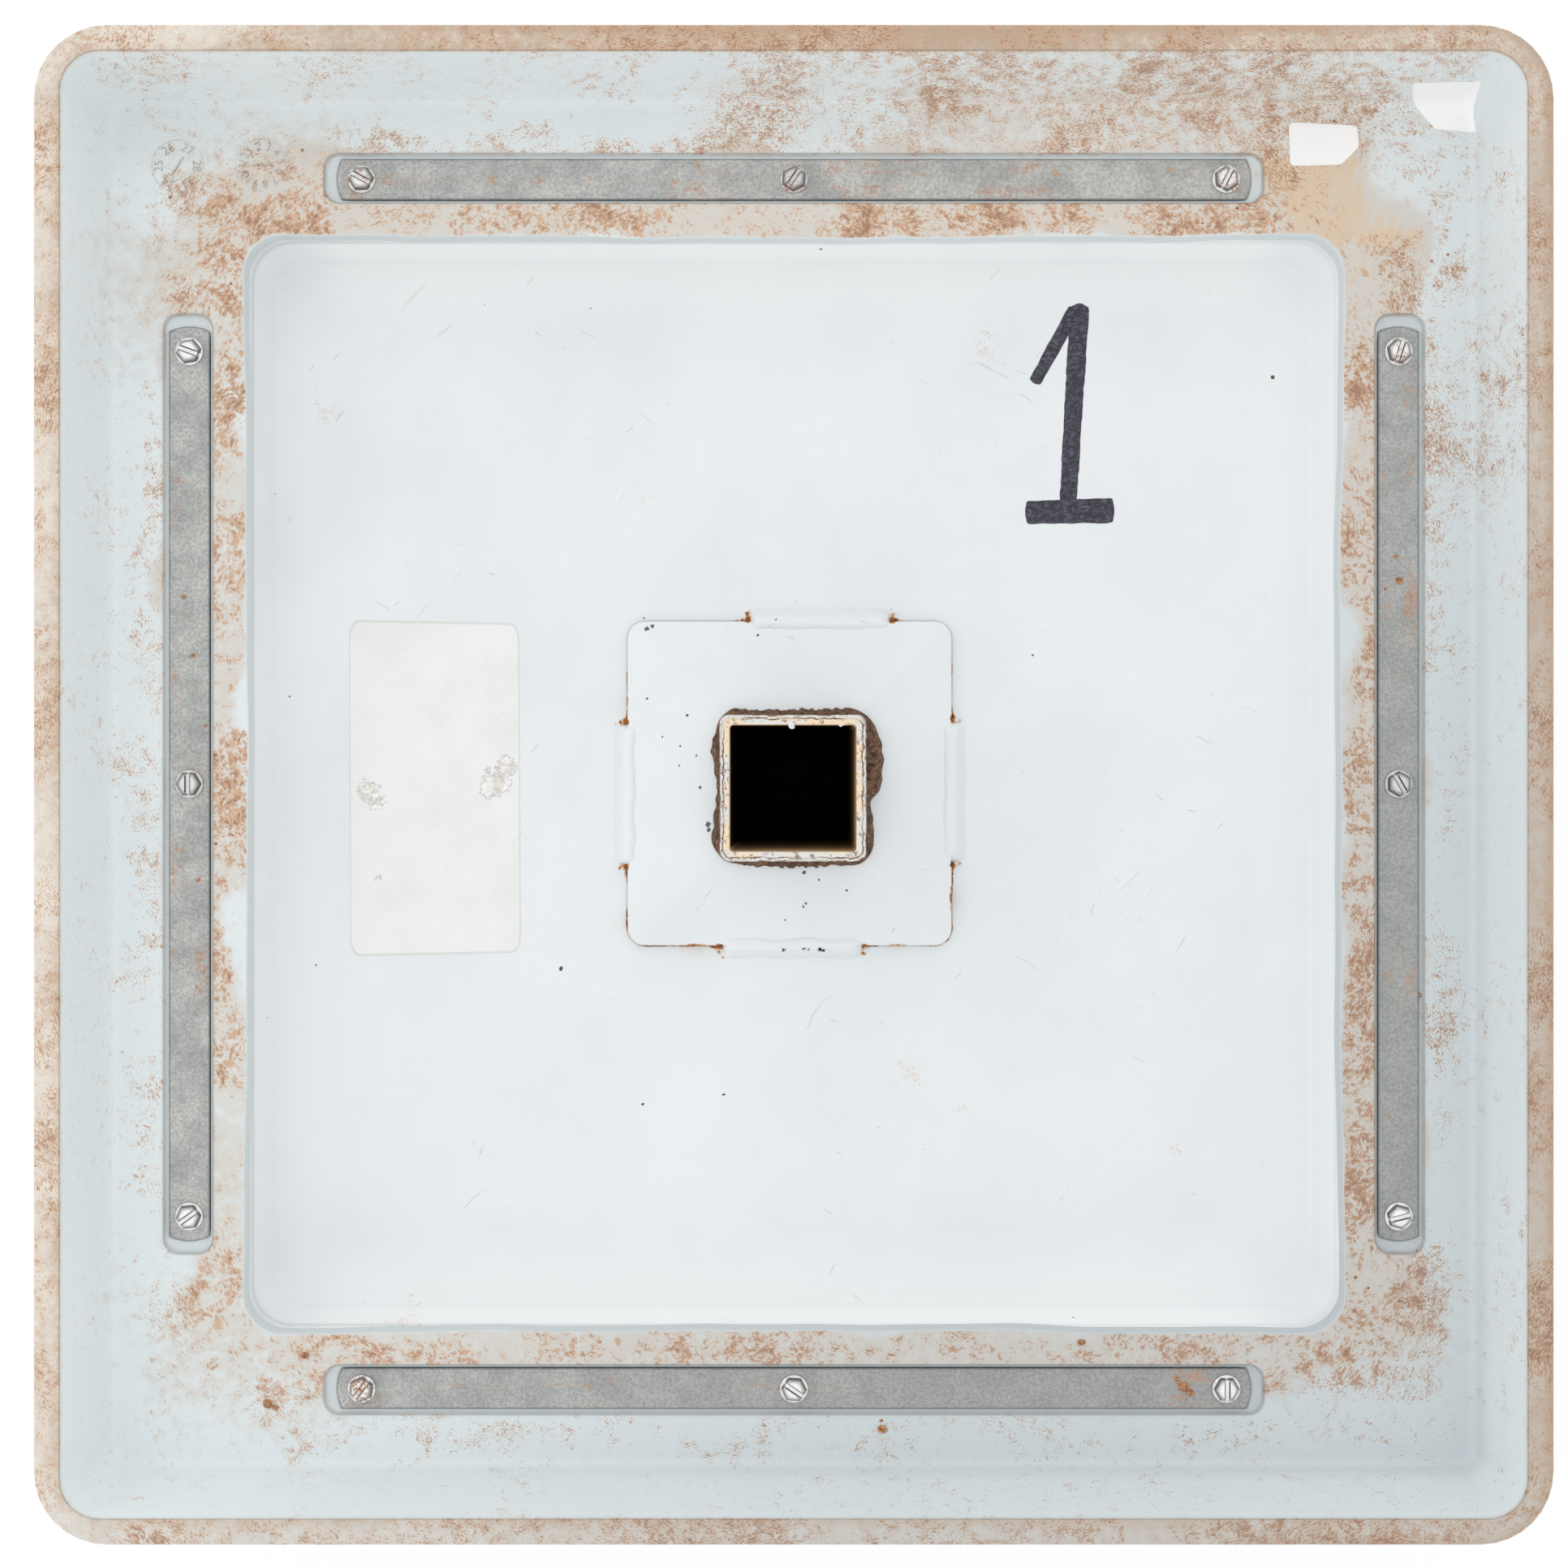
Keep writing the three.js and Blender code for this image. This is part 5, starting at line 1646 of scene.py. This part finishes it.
# Mould dials: raised plain numbers round a pointer, with a thin ring.
dialSets = (
    {
        "name": "dialYears", "x": -192.0, "y": 192.6,
        "numbers": range(23, 29), "first": 300, "step": -60, "pointer": 58,  # the last three in degrees
    },
    {
        "name": "dialMonths", "x": -165.8, "y": 192.9,
        "numbers": range(1, 13), "first": 130, "step": -30, "pointer": 2,
    },
)
dialShape = {
    "numberRadius": 5.9,
    "numberHeight": 2.8,
    "ringRadius": 8.1,
    "ringWidth": 0.11,
    "ringRaise": 0.14,
    "raise": 0.22,
    "arrow": ((-3.2, -0.3), (3.4, -0.22), (3.4, 0.22), (-3.2, 0.3)),
    "grimeAndShade": (0.08, 0.34),  # on the ring, and on the numbers and the arrow
}


def textShape(words, height, thick):
    # the outline of a few characters as a low raised mesh, in millimetres about its own middle
    curve = bpy.data.curves.new("numberOutline", "FONT")
    curve.body = words
    curve.size = height * 1.4  # a figure is lower than its font's size
    curve.align_x = "CENTER"
    curve.align_y = "CENTER"
    curve.extrude = thick
    curve.offset = -0.05
    curve.resolution_u = 3
    holder = bpy.data.objects.new("numberOutline", curve)
    mesh = bpy.data.meshes.new_from_object(holder)
    points = np.zeros(len(mesh.vertices) * 3)
    corners = np.zeros(len(mesh.loops), int)
    sizes = np.zeros(len(mesh.polygons), int)
    mesh.vertices.foreach_get("co", points)
    mesh.loops.foreach_get("vertex_index", corners)
    mesh.polygons.foreach_get("loop_total", sizes)
    bpy.data.objects.remove(holder)
    bpy.data.curves.remove(curve)
    bpy.data.meshes.remove(mesh)
    return points.reshape(-1, 3), corners, sizes


def makeDial(dial, shape):
    top = coverSet["flangeZ"]
    parts = []
    for index, number in enumerate(dial["numbers"]):
        bearing = dial["first"] + dial["step"] * index
        turn = math.radians(bearing)
        px = dial["x"] + shape["numberRadius"] * math.cos(turn)
        py = dial["y"] + shape["numberRadius"] * math.sin(turn)
        raised = textShape(str(number), shape["numberHeight"], shape["raise"])
        parts.append(placeShape(raised, bearing - 90, px, py, top))
    turn = np.linspace(0, 2 * np.pi, 65)[:-1, None]
    lobe = np.linspace(0, 2 * np.pi, 9)[None, :-1]
    reach = shape["ringRadius"] + shape["ringWidth"] * np.cos(lobe)
    ringX = dial["x"] + reach * np.cos(turn)
    ringY = dial["y"] + reach * np.sin(turn)
    ringZ = top + shape["ringRaise"] * np.sin(lobe) + 0 * turn
    parts.append(gridShape(np.stack([ringX, ringY, ringZ], axis=-1)[:, ::-1], closeRows=True))
    levels = [(0.97, shape["raise"]), (1, shape["raise"] * 0.6), (1, -0.1)]
    arrow = gridShape(prismPoints(np.array(shape["arrow"]), levels))
    parts.append(placeShape(arrow, dial["pointer"], dial["x"], dial["y"], top))
    shapes = joinShapes(parts)
    none = np.zeros(len(shapes[0]))
    onRing = np.hypot(shapes[0][:, 0] - dial["x"], shapes[0][:, 1] - dial["y"]) > shape["ringRadius"] - 0.3
    grimeAndShade = np.where(onRing, *shape["grimeAndShade"])
    values = {"clay": none + 0.5, "wash": none + 0.3, "rim": none, "spots": none, "grimeAndShade": grimeAndShade}
    makePiece(dial["name"], shapes, rubber, (), values, 30)


for dialSet in dialSets:
    makeDial(dialSet, dialShape)
print("dials made")


# Floor and light: a white floor with a soft shadow, under an even sky that is brighter to the upper left.
floorSet = {
    "half": 4.0,  # in metres
    "below": 0.0005,
    "glow": 1.04,  # strength of the light that it shows to the camera
    "glowShare": 0.8,  # how much of its look that takes, where the rest keeps the shadow
}
lightSet = {
    "sky": 0.84,
    "low": 0.5,  # how much is added towards the horizon, which lights the walls
    "lean": 0.22,  # how much brighter the sky is towards its bright side, and darker away from it
    "towards": (-0.62, 0.38, 0.68),
}


def makeFloor(shape):
    half = shape["half"]
    corners = [(-half, -half, 0), (half, -half, 0), (half, half, 0), (-half, half, 0)]
    mesh = bpy.data.meshes.new("floor")
    mesh.from_pydata(corners, [], [(0, 1, 2, 3)])
    floor = bpy.data.objects.new("floor", mesh)
    floor.location.z = -shape["below"]
    look = {"Roughness": 0.9, "Base Color": (0.9, 0.9, 0.9, 1)}
    material, tree, _ = newMaterial("whiteFloor", **look)
    rays = addNode(tree, "ShaderNodeLightPath").outputs
    bounced = calc(tree, "MAXIMUM", rays["Is Glossy Ray"], rays["Is Transmission Ray"])
    seen = calc(tree, "MAXIMUM", rays["Is Camera Ray"], bounced)
    glow = addNode(tree, "ShaderNodeEmission", {"Color": (1, 1, 1, 1), "Strength": shape["glow"]})
    both = addNode(tree, "ShaderNodeMixShader", {0: calc(tree, "MULTIPLY", seen, shape["glowShare"])})
    output = tree.nodes["Material Output"]
    tree.links.new(tree.nodes["Principled BSDF"].outputs[0], both.inputs[1])
    tree.links.new(glow.outputs[0], both.inputs[2])
    tree.links.new(both.outputs[0], output.inputs["Surface"])
    mesh.materials.append(material)
    bpy.context.scene.collection.objects.link(floor)


def makeLight(light):
    # the sky's strength is an even part, plus a part that goes with the direction's share towards the bright
    # side, plus a part that grows as the square of what the direction's height falls short of straight up
    world = bpy.data.worlds.new("paleSky")
    bpy.context.scene.world = world
    world.use_nodes = True
    tree = world.node_tree
    direction = addNode(tree, "ShaderNodeTexCoord").outputs["Generated"]
    pair = {0: direction, 1: light["towards"]}
    bright = addNode(tree, "ShaderNodeVectorMath", pair, operation="DOT_PRODUCT").outputs["Value"]
    height = addNode(tree, "ShaderNodeSeparateXYZ", {0: direction}).outputs[2]
    short = calc(tree, "SUBTRACT", 1.0, height)
    low = calc(tree, "MULTIPLY", calc(tree, "MULTIPLY", short, short), light["low"])
    even = calc(tree, "ADD", low, light["sky"])
    glow = calc(tree, "MULTIPLY_ADD", bright, light["lean"], even)
    rays = addNode(tree, "ShaderNodeLightPath").outputs
    strength = calc(tree, "MAXIMUM", glow, rays["Is Camera Ray"])
    background = tree.nodes["Background"]
    background.inputs["Color"].default_value = (1, 1, 1, 1)
    tree.links.new(strength, background.inputs["Strength"])


makeFloor(floorSet)
makeLight(lightSet)
bpy.context.scene.view_settings.view_transform = "Standard"
print("light set")
